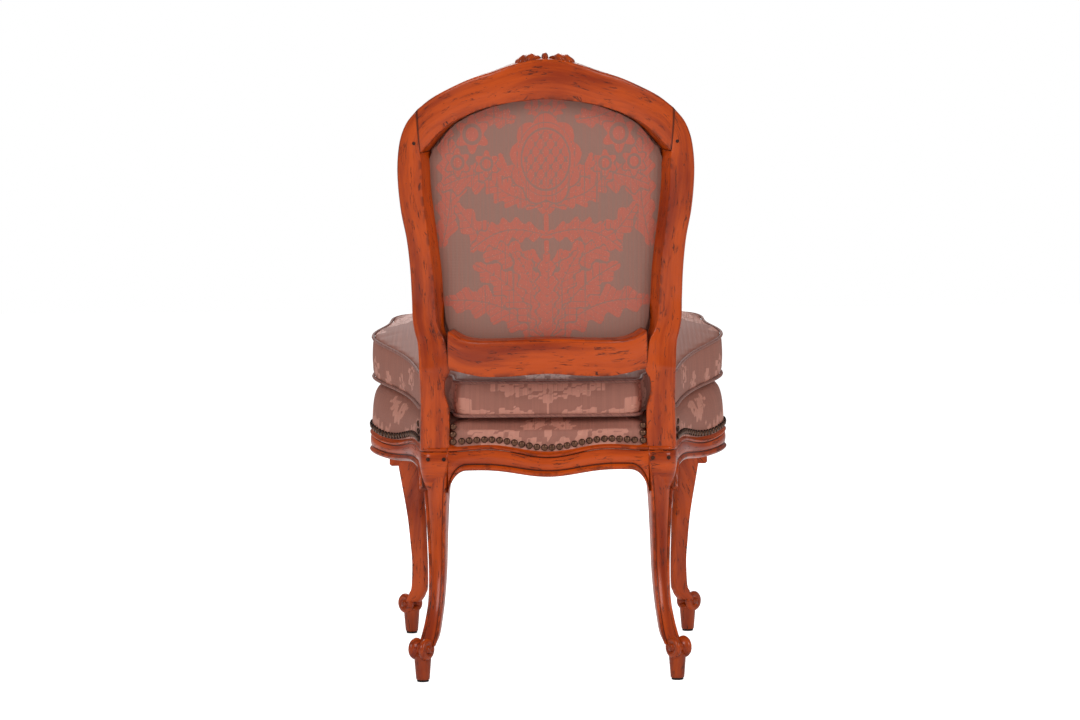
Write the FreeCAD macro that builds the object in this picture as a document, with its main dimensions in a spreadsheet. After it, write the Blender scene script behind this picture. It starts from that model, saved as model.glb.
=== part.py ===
import FreeCAD, Part
import math
import os
import Sketcher

from FreeCAD import Vector

# Fireside chair with a curved open-framed back, serpentine seat rails, cabriole legs,
# a nailed tight seat and a loose T-shaped cushion.
# The chair faces -Y and the sitter's left is +X. The origin is on the floor, under the
# middle of the chair's whole depth and width.

os.makedirs("parts", exist_ok=True)
doc = FreeCAD.newDocument("fireside_chair")

SIZES = {
    # whole chair
    "overall_depth": 562.0,
    "seat_rail_top": 329.0,
    "crest_top": 881.0,
    # back frame
    "back_half_width": 209.5,
    "back_radius": 420.0,
    "back_lean": 62.0,
    "back_thickness": 36.0,
    "back_edge_rounding": 5.0,
    "post_line": 163.0,
    "panel_depth_top": 24.0,
    "lower_rail_thickness": 30.0,
    "lower_rail_low": 438.0,
    "lower_rail_high": 484.0,
    # seat frame
    "rear_block_inner": 144.0,
    "rear_block_outer": 184.0,
    "rear_block_depth": 38.0,
    "front_block_inner": 208.0,
    "front_block_outer": 244.0,
    "front_block_rear": 398.0,
    "front_block_front": 440.0,
    "side_bulge": 42.0,
    "rear_bulge": 5.0,
    "rail_height": 34.0,
    "rail_thickness": 24.0,
    "rail_dip": 9.0,
    "rail_ear_length": 22.0,
    "rail_ear_drop": 33.0,
    "bead": 7.0,
    "bead_proud": 3.0,
    "ledge": 4.0,
    "strip_height": 18.0,
    # joints in the wood
    "tenon_length": 20.0,
    "tenon_height": 22.0,
    "tenon_thickness": 10.0,
    "fit_gap": 0.1,
    "peg_diameter": 7.0,
    "peg_length": 19.0,
    # rear legs
    "rear_knee_across": 156.0,
    "rear_knee_back": 28.0,
    "rear_foot_across": 181.5,
    "rear_foot_back": 54.0,
    "rear_leg_turn": 35.0,
    # front legs
    "front_knee_across": 208.0,
    "front_foot_across": 215.0,
    "front_foot_forward": 414.0,
    "front_leg_turn": 45.0,
    # shared leg sizes
    "knee_width": 46.0,
    "knee_depth": 38.0,
    "knee_crown": 12.0,
    "leg_bead": 4.0,
    "leg_rounding": 6.0,
    "scroll_radius": 15.5,
    "scroll_width": 30.0,
    "scroll_height": 47.0,
    "scroll_eye_radius": 4.5,
    "scroll_eye_proud": 2.0,
    "peg_foot_top_radius": 11.5,
    "peg_foot_radius": 9.3,
    "glide_radius": 8.5,
    "glide_thickness": 3.0,
    # seat support
    "corner_block_reach": 44.0,
    "corner_block_height": 30.0,
    "corner_block_lift": 2.0,
    "screw_radius": 2.2,
    "screw_head_radius": 4.5,
    "screw_head_height": 2.5,
    "screw_length": 30.0,
    "web_width": 50.0,
    "web_thickness": 1.2,
    "web_grip": 14.0,
    "cloth_thickness": 1.2,
    # tight seat
    "pad_edge_gap": 8.0,
    "cover_thickness": 2.0,
    "nail_pitch": 10.9,
    "nail_radius": 5.0,
    "nail_rise": 3.0,
    "nail_lift": 8.5,
    "nail_shank_radius": 0.9,
    "nail_shank_length": 9.0,
    "post_nail_rise": 24.0,
    "back_nail_offset": 9.0,
    # loose cushion
    "seat_slope": 0.128,
    "top_slope": 0.171,
    "cushion_low": 370.0,
    "cushion_rear_thickness": 55.0,
    "cushion_crown": 12.0,
    "cushion_bulge": 3.0,
    "cushion_cloth": 2.5,
    "cushion_corner": 12.0,
    "cushion_corner_cut": 17.0,
    "tongue_half_width": 135.5,
    "tongue_rear": 4.0,
    "ear_rear": 50.0,
    "ear_half_width": 186.0,
    "cushion_inset": 4.0,
    "welt_radius": 3.2,
    # inside back
    "back_pad_thickness": 26.0,
    "back_pad_overlap": 6.0,
    "back_cover_overlap": 14.0,
    "rest_gap": 0.4,
    # carving on the crest
    "carving_rise": 10.0,
    "carving_half_width": 24.0,
    "carving_depth": 15.0,
}

sheet = doc.addObject("Spreadsheet::Sheet", "sizes")
for row, (name, value) in enumerate(SIZES.items(), start=1):
    sheet.set("A%d" % row, name)
    sheet.set("B%d" % row, "%g" % value)
    sheet.setAlias("B%d" % row, name)
doc.recompute()


def size(name):
    """The value of a named cell of the sheet."""
    return float(sheet.get(name))


overall_depth = size("overall_depth")
seat_rail_top = size("seat_rail_top")
crest_top = size("crest_top")
back_height = crest_top - seat_rail_top
back_half_width = size("back_half_width")
back_radius = size("back_radius")
back_thickness = size("back_thickness")
post_line = size("post_line")
post_bow = back_radius - math.sqrt(back_radius**2 - post_line**2)
# the seat frame's rear face lies where the leaning, bowed back just reaches the overall depth
rear_face = overall_depth / 2 - size("back_lean") - post_bow
seat_depth = rear_face + overall_depth / 2
strip_top = seat_rail_top + size("strip_height")
rail_low = seat_rail_top - size("rail_height")
overrun = back_thickness


def at(across, forward, height):
    """A point by its distance from the middle, forward of the rear seat rail, and height."""
    return Vector(across, rear_face - forward, height)


def back_turn(across):
    """The angle by which the curved back has turned at this distance from the middle."""
    return math.asin(across / back_radius)


def back_point(across, height, depth):
    """A point of the back, at a depth in from its rear surface, a leaning cylinder."""
    turn = back_turn(across)
    bow = back_radius * math.cos(turn) - (back_radius - post_bow)
    lean = size("back_lean") * (height - seat_rail_top) / back_height
    forward = depth * math.cos(turn) - bow - lean
    return at(across - depth * math.sin(turn), forward, height)


def blend(low, high, share):
    return low + (high - low) * share


def loft(wires):
    return Part.makeLoft(wires, True, False)


def stacked(wires):
    """Solid through outlines of equal edges, straight from each to the next."""
    return Part.makeLoft(wires, True, True)


def closed_wire(edges):
    return Part.Wire([edge if isinstance(edge, Part.Edge) else edge.toShape() for edge in edges])


def polygon(points):
    return Part.makePolygon(list(points) + [points[0]])


def prism(points, direction):
    return Part.Face(polygon(points)).extrude(direction)


def mirrored(shape):
    return shape.mirror(Vector(0, 0, 0), Vector(1, 0, 0))


def add_piece(name, shape):
    """One piece of the chair, named after its file."""
    piece = doc.addObject("Part::Feature", name)
    piece.Label = name
    piece.Shape = shape
    piece.Placement = FreeCAD.Placement()
    return piece


def rounded_bar(outer, inner, forward, thickness, rounding):
    """Closed wire of a rounded rectangle from outer to inner edge, forward by its thickness."""
    along = (inner - outer).normalize()
    inward = (forward - along * forward.dot(along)).normalize()
    width = (inner - outer).Length
    diagonal = rounding * (1 - math.sqrt(0.5))

    def spot(run, rise):
        return outer + along * run + inward * rise

    far = width - rounding
    deep = thickness - rounding
    return closed_wire([
        Part.LineSegment(spot(rounding, 0), spot(far, 0)),
        Part.Arc(spot(far, 0), spot(width - diagonal, diagonal), spot(width, rounding)),
        Part.LineSegment(spot(width, rounding), spot(width, deep)),
        Part.Arc(spot(width, deep), spot(width - diagonal, thickness - diagonal), spot(far, thickness)),
        Part.LineSegment(spot(far, thickness), spot(rounding, thickness)),
        Part.Arc(spot(rounding, thickness), spot(diagonal, thickness - diagonal), spot(0, deep)),
        Part.LineSegment(spot(0, deep), spot(0, rounding)),
        Part.Arc(spot(0, rounding), spot(diagonal, diagonal), spot(rounding, 0)),
    ])


# Back frame: each row is the outer edge's across and height and the inner edge's across and
# height, as shares of the back's half width and of its height above the seat rails.
POST_SHARES = [
    (0.872, -0.060, 0.678, -0.060),
    (0.872, 0.000, 0.678, 0.000),
    (0.869, 0.056, 0.678, 0.056),
    (0.865, 0.100, 0.680, 0.100),
    (0.863, 0.143, 0.708, 0.143),
    (0.862, 0.174, 0.704, 0.174),
    (0.862, 0.205, 0.668, 0.205),
    (0.864, 0.241, 0.683, 0.241),
    (0.873, 0.277, 0.699, 0.277),
    (0.893, 0.304, 0.740, 0.308),
    (0.907, 0.333, 0.756, 0.333),
    (0.913, 0.384, 0.767, 0.384),
    (0.922, 0.464, 0.778, 0.464),
    (0.943, 0.542, 0.802, 0.542),
    (0.981, 0.618, 0.827, 0.618),
    (1.000, 0.696, 0.844, 0.690),
    (0.999, 0.746, 0.846, 0.735),
    (0.983, 0.801, 0.848, 0.752),
    (0.947, 0.839, 0.849, 0.761),
    (0.869, 0.876, 0.850, 0.767),
]
CREST_SHARES = [
    (0.869, 0.876, 0.850, 0.767),
    (0.773, 0.904, 0.790, 0.792),
    (0.637, 0.931, 0.678, 0.833),
    (0.501, 0.953, 0.539, 0.862),
    (0.368, 0.968, 0.382, 0.883),
    (0.234, 0.985, 0.239, 0.894),
    (0.100, 0.997, 0.100, 0.900),
    (0.000, 1.000, 0.000, 0.902),
]
turned_from = 0.205
turned_to = 0.384


def frame_section(row, side, turning):
    """Rounded section of the back frame on one row of shares, on the side +1 or -1."""
    outer_across, outer_share, inner_across, inner_share = row
    middle = (outer_across + inner_across) / 2 * back_half_width
    turn = back_turn(middle) * turning
    outer = back_point(outer_across * back_half_width, seat_rail_top + outer_share * back_height, 0)
    inner = back_point(inner_across * back_half_width, seat_rail_top + inner_share * back_height, 0)
    if turning < 1:
        # the post's lower end stands square to the seat frame
        square = Vector(outer.x, inner.y, outer.z)
        outer = square + (outer - square) * turning
    forward = Vector(-math.sin(turn), -math.cos(turn), 0)
    if side < 0:
        outer.x, inner.x, forward.x = -outer.x, -inner.x, -forward.x
    return rounded_bar(outer, inner, forward, back_thickness, size("back_edge_rounding"))


def post_turning(share):
    return min(1, max(0, (share - turned_from) / (turned_to - turned_from)))


def make_post():
    return loft([frame_section(row, 1, post_turning(row[1])) for row in POST_SHARES])


def make_crest_bar():
    left = [frame_section(row, 1, 1) for row in CREST_SHARES]
    right = [frame_section(row, -1, 1) for row in reversed(CREST_SHARES[:-1])]
    return loft(left + right)


# Cabriole legs: each row is a height, the way from knee to foot across and forward, and the
# section's width, depth and crown, as shares of the sizes named after them.
REAR_LEG_SHARES = [
    (1.000, -0.16, 0.000, 1.00, 1.00, 1.00),
    (0.942, -0.10, 0.020, 0.97, 0.96, 0.90),
    (0.860, -0.02, 0.050, 0.91, 0.90, 0.60),
    (0.769, 0.01, 0.085, 0.78, 0.79, 0.35),
    (0.608, 0.02, 0.160, 0.65, 0.68, 0.20),
    (0.465, 0.03, 0.256, 0.59, 0.61, 0.15),
    (0.337, 0.12, 0.415, 0.54, 0.56, 0.12),
    (0.252, 0.27, 0.585, 0.56, 0.57, 0.12),
    (0.195, 0.42, 0.760, 0.60, 0.58, 0.12),
    (0.155, 0.62, 0.900, 0.60, 0.50, 0.12),
]
FRONT_LEG_SHARES = [
    (1.000, 0.00, 0.00, 1.00, 1.00, 1.00),
    (0.900, 0.00, 0.00, 0.96, 0.95, 0.80),
    (0.830, 0.00, 0.00, 0.91, 0.90, 0.60),
    (0.723, -0.28, -0.20, 0.78, 0.79, 0.35),
    (0.629, -0.60, -0.45, 0.67, 0.68, 0.20),
    (0.535, -1.05, -0.75, 0.62, 0.63, 0.15),
    (0.438, -1.30, -0.95, 0.58, 0.58, 0.12),
    (0.343, -1.50, -1.10, 0.54, 0.56, 0.12),
    (0.252, -1.45, -1.00, 0.56, 0.57, 0.12),
    (0.195, -0.90, -0.55, 0.60, 0.58, 0.12),
    (0.155, 0.00, 0.10, 0.60, 0.50, 0.12),
]
inner_width_share = 0.45


def leg_section(centre, turn, width, depth, crown):
    """Shield-shaped section: a crowned outer face between two beads, narrowing inwards."""
    outward = Vector(math.sin(turn), math.cos(turn), 0)
    sideways = Vector(math.cos(turn), -math.sin(turn), 0)
    bead = size("leg_bead")
    rounding = min(size("leg_rounding"), depth / 4)
    narrow = width * inner_width_share / 2
    half = width / 2
    face = depth / 2

    def spot(run, rise):
        return centre + sideways * run + outward * rise

    groove = half - bead
    bulge = bead * (1 - math.sqrt(0.5))
    slope = (half - narrow) / (depth - bead)
    low = half - slope * (depth - bead - rounding)
    return closed_wire([
        Part.Arc(spot(-groove, face - bead / 2), spot(0, face + crown), spot(groove, face - bead / 2)),
        Part.Arc(spot(groove, face - bead / 2), spot(half - bulge, face - bulge), spot(half, face - bead)),
        Part.LineSegment(spot(half, face - bead), spot(low, rounding - face)),
        Part.Arc(spot(low, rounding - face), spot(narrow, rounding / 3 - face),
                 spot(narrow - rounding, -face)),
        Part.LineSegment(spot(narrow - rounding, -face), spot(rounding - narrow, -face)),
        Part.Arc(spot(rounding - narrow, -face), spot(-narrow, rounding / 3 - face),
                 spot(-low, rounding - face)),
        Part.LineSegment(spot(-low, rounding - face), spot(-half, face - bead)),
        Part.Arc(spot(-half, face - bead), spot(bulge - half, face - bulge),
                 spot(-groove, face - bead / 2)),
    ])


def make_leg(rows, knee, foot, turn):
    """Leg from the seat frame to the floor: lofted sections, scroll toe and tapered peg foot."""
    sections = []
    for height, across, forward, width, depth, crown in rows:
        centre = at(blend(knee[0], foot[0], across), blend(knee[1], foot[1], forward),
                    height * seat_rail_top)
        sections.append(leg_section(centre, turn, width * size("knee_width"),
                                    depth * size("knee_depth"), crown * size("knee_crown")))
    shape = loft(sections)
    sideways = Vector(math.cos(turn), -math.sin(turn), 0)
    outward = Vector(math.sin(turn), math.cos(turn), 0)
    scroll = at(foot[0], foot[1], size("scroll_height")) + outward * size("glide_thickness")
    radius = size("scroll_radius")
    half = size("scroll_width") / 2
    shape = shape.fuse(Part.makeCylinder(radius, 2 * half, scroll - sideways * half, sideways))
    for reach in (half, half + size("scroll_eye_proud")):
        eye = radius - size("scroll_eye_radius") if reach == half else size("scroll_eye_radius")
        shape = shape.fuse(Part.makeCylinder(eye, 2 * reach, scroll - sideways * reach, sideways))
    peg = Part.makeCone(size("peg_foot_radius"), size("peg_foot_top_radius"),
                        size("scroll_height") - radius / 2 - size("glide_thickness"),
                        at(foot[0], foot[1], size("glide_thickness")))
    return shape.fuse(peg)


# Seat frame: plan paths of the rails' outer faces, with the share run along each.
side_skew = 1.9


def side_path(share):
    """Serpentine side: a straight run from rear to front block plus a skewed squared sine."""
    swell = math.sin(math.pi * share**side_skew) ** 2
    across = blend(size("rear_block_outer"), size("front_block_outer"), share)
    forward = blend(size("rear_block_depth") / 2, size("front_block_rear"), share)
    return across + size("side_bulge") * swell, forward


def front_path(share):
    """Serpentine front: straight between the front blocks plus a squared sine."""
    swell = math.sin(math.pi * share) ** 2
    across = size("front_block_inner") * (1 - 2 * share)
    return across, blend(size("front_block_front"), seat_depth, swell)


def rear_path(share):
    """Rear rail: straight between the rear blocks with a slight bow."""
    across = size("rear_block_inner") * (2 * share - 1)
    return across, -size("rear_bulge") * math.sin(math.pi * share) ** 2


def path_frame(path, share):
    """Point of a path and the outward direction square to it, in plan."""
    step = 0.001
    before = path(max(0, share - step))
    after = path(min(1, share + step))
    run = math.hypot(after[0] - before[0], after[1] - before[1])
    return path(share), ((after[1] - before[1]) / run, -(after[0] - before[0]) / run)


def inset_point(path, share, inset, height):
    (across, forward), (out_across, out_forward) = path_frame(path, share)
    return at(across - inset * out_across, forward - inset * out_forward, height)


def rail_edges(share, run_from_end):
    """Top and bottom heights of a rail: a dip in the middle, lifted quarters, ears at the ends."""
    swell = math.sin(math.pi * share) ** 4
    quarter = math.sin(2 * math.pi * share) ** 2
    top = seat_rail_top - size("rail_dip") * swell + size("rail_dip") / 2 * quarter
    near = max(0, 1 - run_from_end / size("rail_ear_length"))
    bottom = rail_low - size("rail_dip") * swell + size("rail_dip") / 5 * quarter
    return top, bottom - size("rail_ear_drop") * near**1.25


RAIL_SHARES = [0, 0.015, 0.03, 0.045, 0.06, 0.085, 0.115, 0.15, 0.19, 0.23, 0.27, 0.31, 0.35, 0.39,
               0.43, 0.47]
RAIL_SHARES += [1 - share for share in reversed(RAIL_SHARES)]


def make_rail(path):
    """Moulded rail: bead, groove, crowned band, groove and lower bead, under a tacking strip."""
    sections = []
    start = path(0)
    end = path(1)
    bead = size("bead")
    proud = size("bead_proud")
    for station in RAIL_SHARES:
        place = path(station)
        run = min(math.dist(place, start), math.dist(place, end))
        top, bottom = rail_edges(station, run)

        def spot(inset, height):
            return inset_point(path, station, inset, height)

        low_bead = bottom + 1.4 * bead
        thick = size("rail_thickness")
        ledge = size("ledge")
        sections.append(closed_wire([
            Part.LineSegment(spot(thick, strip_top), spot(ledge, strip_top)),
            Part.LineSegment(spot(ledge, strip_top), spot(ledge, top)),
            Part.LineSegment(spot(ledge, top), spot(ledge / 4, top)),
            Part.Arc(spot(ledge / 4, top), spot(-proud / 2, top - bead / 2), spot(ledge / 4, top - bead)),
            Part.Arc(spot(ledge / 4, top - bead), spot(0, (top - bead + low_bead) / 2),
                     spot(ledge / 4, low_bead)),
            Part.Arc(spot(ledge / 4, low_bead), spot(-proud / 2, (low_bead + bottom) / 2),
                     spot(ledge / 2, bottom)),
            Part.LineSegment(spot(ledge / 2, bottom), spot(thick, bottom)),
            Part.LineSegment(spot(thick, bottom), spot(thick, strip_top)),
        ]))
    return stacked(sections)


def tenon(start, direction, height, extra):
    """Tenon from start along a plan direction, centred on its height, or its mortise with extra."""
    sideways = Vector(-direction.y, direction.x, 0)
    half_thickness = size("tenon_thickness") / 2 + extra
    half_height = size("tenon_height") / 2 + extra
    corner = start - direction * size("ledge") - sideways * half_thickness
    corner.z = height - half_height
    points = [corner, corner + sideways * 2 * half_thickness]
    points += [point + Vector(0, 0, 2 * half_height) for point in reversed(points)]
    return prism(points, direction * (size("tenon_length") + size("ledge") + extra))


# Blocks at the corners of the seat frame
def make_block(inner, outer, edge, far):
    """Squared block of a leg at the seat frame, its outer corner cut back, under a bead."""
    proud = size("bead_proud")
    corner = size("knee_crown")
    inward = math.copysign(1, far - edge)
    low = rail_low - size("rail_ear_drop")
    plan = [(inner, edge), (outer - corner, edge), (outer, edge + inward * corner),
            (outer, far), (inner, far)]
    block = prism([at(across, forward, low) for across, forward in plan],
                  Vector(0, 0, seat_rail_top - low))
    bead_low = seat_rail_top - size("bead")
    bead_edge = edge - inward * proud
    bead_plan = [(inner, bead_edge), (outer - corner / 2, bead_edge),
                 (outer + proud, edge + inward * corner / 2), (outer + proud, far), (inner, far)]
    bead = prism([at(across, forward, bead_low) for across, forward in bead_plan],
                 Vector(0, 0, size("bead")))
    return block.fuse(bead.makeFillet(proud / 2, bead.Edges))


# Rear legs, each with its post
rear_knee = (size("rear_knee_across"), size("rear_knee_back"))
rear_foot = (size("rear_foot_across"), -size("rear_foot_back"))
rear_leg = make_leg(REAR_LEG_SHARES, rear_knee, rear_foot, math.radians(size("rear_leg_turn")))
rear_block = make_block(size("rear_block_inner"), size("rear_block_outer"), 0,
                        size("rear_block_depth"))
rear_leg = rear_leg.fuse([rear_block, make_post()])

# Front legs, each with a tacking block above its bead
front_knee = (size("front_knee_across"),
              size("front_block_front") - size("front_block_outer") + size("front_knee_across"))
front_foot = (size("front_foot_across"), size("front_foot_forward"))
front_leg = make_leg(FRONT_LEG_SHARES, front_knee, front_foot,
                     math.pi - math.radians(size("front_leg_turn")))
front_block = make_block(size("front_block_inner"), size("front_block_outer"),
                         size("front_block_front"), size("front_block_rear"))
tack_corner = size("knee_crown")
tack_outer = size("front_block_outer") - size("ledge")
tack_front = size("front_block_front") - size("ledge")
tack_plan = [(size("front_block_inner"), tack_front), (tack_outer - tack_corner, tack_front),
             (tack_outer, tack_front - tack_corner), (tack_outer, size("front_block_rear")),
             (size("front_block_inner"), size("front_block_rear"))]
tack_block = prism([at(across, forward, rail_low) for across, forward in tack_plan],
                   Vector(0, 0, strip_top - rail_low))
front_leg = front_leg.fuse([front_block, tack_block])

# Lower back rail: rows of across and lower edge's rise, as shares of the back's half width and
# of the rail's height
LOWER_RAIL_SHARES = [(0.76, 0.10), (0.66, 0.087), (0.60, 0.043), (0.53, -0.03), (0.46, -0.087),
                     (0.36, -0.10), (0.255, -0.08), (0.12, -0.03)]
lower_low = size("lower_rail_low")
lower_high = size("lower_rail_high")


def make_lower_rail():
    rows = LOWER_RAIL_SHARES + [(0, 0)]
    rows += [(-across, rise) for across, rise in reversed(LOWER_RAIL_SHARES)]
    sections = []
    for across_share, rise in rows:
        across = across_share * back_half_width
        turn = back_turn(across)
        low = lower_low + rise * (lower_high - lower_low)
        sections.append(rounded_bar(
            back_point(across, lower_high, 0), back_point(across, low, 0),
            Vector(-math.sin(turn), -math.cos(turn), 0), size("lower_rail_thickness"),
            size("back_edge_rounding")))
    return loft(sections)


# Carving on top of the crest: a bud between two leaves, as three stretched balls
def stretched_ball(centre, half_sizes, tilt):
    ball = Part.makeSphere(1)
    stretch = FreeCAD.Matrix()
    stretch.scale(*half_sizes)
    ball = ball.transformGeometry(stretch)
    ball.rotate(Vector(0, 0, 0), Vector(0, 1, 0), tilt)
    ball.translate(centre)
    return ball


def make_carving():
    rise = size("carving_rise")
    half = size("carving_half_width")
    deep = size("carving_depth")
    seat = back_point(0, crest_top, back_thickness / 2)
    leaf_lift = Vector(0, 0, -rise / 4)
    leaf_reach = Vector(half, 0, 0)
    leaf = (half * 0.75, deep, rise * 0.8)
    leaf_tilt = math.degrees(math.atan2(rise, 2 * half))
    return [stretched_ball(seat, (half / 3, deep * 0.8, rise), 0),
            stretched_ball(seat + leaf_lift + leaf_reach, leaf, leaf_tilt),
            stretched_ball(seat + leaf_lift - leaf_reach, leaf, -leaf_tilt)]


crest = make_crest_bar()
rails = {"crest_rail": crest.fuse(make_carving()), "lower_back_rail": make_lower_rail(),
         "rear_seat_rail": make_rail(rear_path), "front_seat_rail": make_rail(front_path),
         "side_seat_rail": make_rail(side_path)}

# Joints: each row is a rail, its host, where the tenon starts, its plan direction, its height,
# and where and which way its peg is driven
frame_turn = back_turn(post_line)
along_back = Vector(math.cos(frame_turn), -math.sin(frame_turn), 0)
into_back = Vector(-math.sin(frame_turn), -math.cos(frame_turn), 0)
to_left = Vector(1, 0, 0)
to_right = Vector(-1, 0, 0)
to_rear = Vector(0, 1, 0)
to_front = Vector(0, -1, 0)
half_rail = size("rail_thickness") / 2
half_tenon = size("tenon_length") / 2
seat_joint = seat_rail_top - size("rail_height") / 2
crest_joint_share, crest_tenon_share = 0.850, 0.790
lower_joint_share = 0.668
crest_joint = back_point(crest_joint_share * back_half_width,
                         seat_rail_top + crest_tenon_share * back_height, back_thickness / 2)
lower_joint = back_point(lower_joint_share * back_half_width, (lower_low + lower_high) / 2,
                         size("lower_rail_thickness") / 2)
rear_inner = size("rear_block_inner")
front_inner = size("front_block_inner")
rear_side = (size("rear_block_outer") - half_rail, size("rear_block_depth"))
front_side = (size("front_block_outer") - half_rail, size("front_block_rear"))
rear_start = at(rear_inner, half_rail, seat_joint)
front_start = at(front_inner, size("front_block_front") - half_rail, seat_joint)
JOINTS = [
    ("crest_rail", "rear", crest_joint, along_back,
     crest_joint + along_back * half_tenon - into_back * back_thickness / 2, into_back),
    ("lower_back_rail", "rear", lower_joint, along_back,
     lower_joint + along_back * half_tenon - into_back * size("lower_rail_thickness") / 2,
     into_back),
    ("rear_seat_rail", "rear", rear_start, to_left,
     at(rear_inner + half_tenon, 0, seat_joint), to_front),
    ("front_seat_rail", "front", front_start, to_left,
     at(front_inner + half_tenon, size("front_block_front"), seat_joint), to_rear),
    ("side_seat_rail", "rear", at(*rear_side, seat_joint), to_rear,
     at(size("rear_block_outer"), rear_side[1] - half_tenon, seat_joint), to_right),
    ("side_seat_rail", "front", at(*front_side, seat_joint), to_front,
     at(size("front_block_outer"), front_side[1] + half_tenon, seat_joint), to_right),
]
legs = {"rear": rear_leg, "front": front_leg}
bare_legs = {"rear": rear_leg, "front": front_leg}
peg_radius = size("peg_diameter") / 2
pegs = []


def biggest(shape):
    return max(shape.Solids, key=lambda solid: solid.Volume)


# the side rail's shoulder is the flat rear face of its rear block
beyond = size("front_block_outer")
behind = Part.makeBox(2 * beyond, overrun + size("rear_block_depth"), strip_top,
                      at(-beyond / 2, size("rear_block_depth"), 0))
for rail_name, leg_name, start, direction, peg_start, peg_way in JOINTS:
    both_ends = not rail_name.startswith("side")
    host = bare_legs[leg_name]
    hosts = [host, mirrored(host)] if both_ends else [behind]
    stub = tenon(start, direction, start.z, 0)
    stubs = [stub, mirrored(stub)] if both_ends else [stub]
    shouldered = biggest(rails[rail_name].cut(hosts))
    hole = Part.makeCylinder(peg_radius + size("fit_gap") / 2, size("peg_length") + overrun,
                             peg_start - peg_way * overrun, peg_way)
    holes = [hole, mirrored(hole)] if both_ends else [hole]
    rails[rail_name] = biggest(shouldered.fuse(stubs).cut(holes))
    mortise = tenon(start, direction, start.z, size("fit_gap"))
    legs[leg_name] = biggest(legs[leg_name].cut([mortise, hole]))
    peg = Part.makeCylinder(peg_radius, size("peg_length"), peg_start, peg_way)
    pegs += [peg, mirrored(peg)]

for name in ("crest_rail", "lower_back_rail", "rear_seat_rail", "front_seat_rail"):
    add_piece(name, rails[name])
for hand, side in (("left", 1), ("right", -1)):
    for name, shape in (("rear_leg", legs["rear"]), ("front_leg", legs["front"]),
                        ("side_seat_rail", rails["side_seat_rail"])):
        add_piece("%s_%s" % (name, hand), shape if side > 0 else mirrored(shape))
add_piece("joint_pegs", Part.makeCompound(pegs))


# Floor glides: a turned pad under each foot
def make_glide(name, across, forward):
    body = doc.addObject("PartDesign::Body", name)
    body.Label = name
    plane = next(item for item in body.Origin.OriginFeatures if item.Role == "XY_Plane")
    outline = body.newObject("Sketcher::SketchObject", name + "_outline")
    outline.AttachmentSupport = (plane, [""])
    outline.MapMode = "FlatFace"
    outline.addGeometry(Part.Circle(Vector(0, 0, 0), Vector(0, 0, 1), size("glide_radius")), False)
    outline.addConstraint(Sketcher.Constraint("Coincident", 0, 3, -1, 1))
    radius = outline.addConstraint(Sketcher.Constraint("Radius", 0, size("glide_radius")))
    outline.setExpression("Constraints[%d]" % radius, "sizes.glide_radius")
    pad = body.newObject("PartDesign::Pad", name + "_pad")
    pad.Profile = outline
    pad.setExpression("Length", "sizes.glide_thickness")
    doc.recompute()
    edge = body.newObject("PartDesign::Chamfer", name + "_edge")
    edge.Base = (pad, ["Face1"])
    edge.setExpression("Size", "sizes.glide_thickness / 4")
    body.Tip = edge
    body.Placement = FreeCAD.Placement(at(across, forward, 0), FreeCAD.Rotation())
    return body


pieces = [item for item in doc.Objects if item.TypeId == "Part::Feature"]
for hand, side in (("left", 1), ("right", -1)):
    pieces.append(make_glide("foot_glide_rear_" + hand, side * rear_foot[0], rear_foot[1]))
    pieces.append(make_glide("foot_glide_front_" + hand, side * front_foot[0], front_foot[1]))

# Corner blocks glued inside the seat frame, each held by two screws
rest_gap = size("rest_gap")
block_reach = size("corner_block_reach")
block_top = seat_rail_top - size("corner_block_lift")
block_low = block_top - size("corner_block_height")
rail_inside = size("rail_thickness") + rest_gap


def make_corner_block(leg_inner, near, leg_far, inward, side_shares):
    """Five-sided block round a leg's inner corner, from one rail's inside to the other's."""
    side_points = [inset_point(side_path, share, rail_inside, block_low) for share in side_shares]
    leg_side = leg_inner - rest_gap
    clear = leg_far + inward * rest_gap
    first = at(leg_side, near, block_low)
    second = at(leg_side - block_reach, near, block_low)
    leg_corner = at(leg_side, clear, block_low)
    beside = Vector(side_points[0].x, leg_corner.y, block_low)
    return prism([first, second, side_points[1], side_points[0], beside, leg_corner],
                 Vector(0, 0, size("corner_block_height")))


rear_side_shares = (0.06, 0.17)
front_side_shares = (0.985, 0.87)
rear_corner = make_corner_block(rear_inner, rail_inside, size("rear_block_depth"), 1,
                                rear_side_shares)
front_corner = make_corner_block(front_inner, size("front_block_front") - rail_inside,
                                 size("front_block_rear"), -1, front_side_shares)
rear_corner = biggest(rear_corner.cut([legs["rear"], rails["side_seat_rail"]]))
front_corner = biggest(front_corner.cut([legs["front"], rails["side_seat_rail"]]))
for hand in ("left", "right"):
    for name, block in (("rear", rear_corner), ("front", front_corner)):
        block = block if hand == "left" else mirrored(block)
        pieces.append(add_piece("corner_block_%s_%s" % (name, hand), block))

screw_shank = doc.addObject("Part::Cylinder", "screw_shank")
screw_shank.setExpression("Radius", "sizes.screw_radius")
screw_shank.setExpression("Height", "sizes.screw_length")
screw_head = doc.addObject("Part::Cone", "screw_head")
screw_head.setExpression("Radius1", "sizes.screw_head_radius")
screw_head.setExpression("Radius2", "sizes.screw_radius")
screw_head.setExpression("Height", "sizes.screw_head_height")
screw = doc.addObject("Part::Fuse", "screw")
screw.Base = screw_head
screw.Tool = screw_shank
doc.recompute()


def aimed(shape, place, direction):
    """A copy of a shape made along +Z, moved to its place and turned to a direction."""
    copy = shape.copy()
    copy.Placement = FreeCAD.Placement(place, FreeCAD.Rotation(Vector(0, 0, 1), direction))
    return copy


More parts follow.
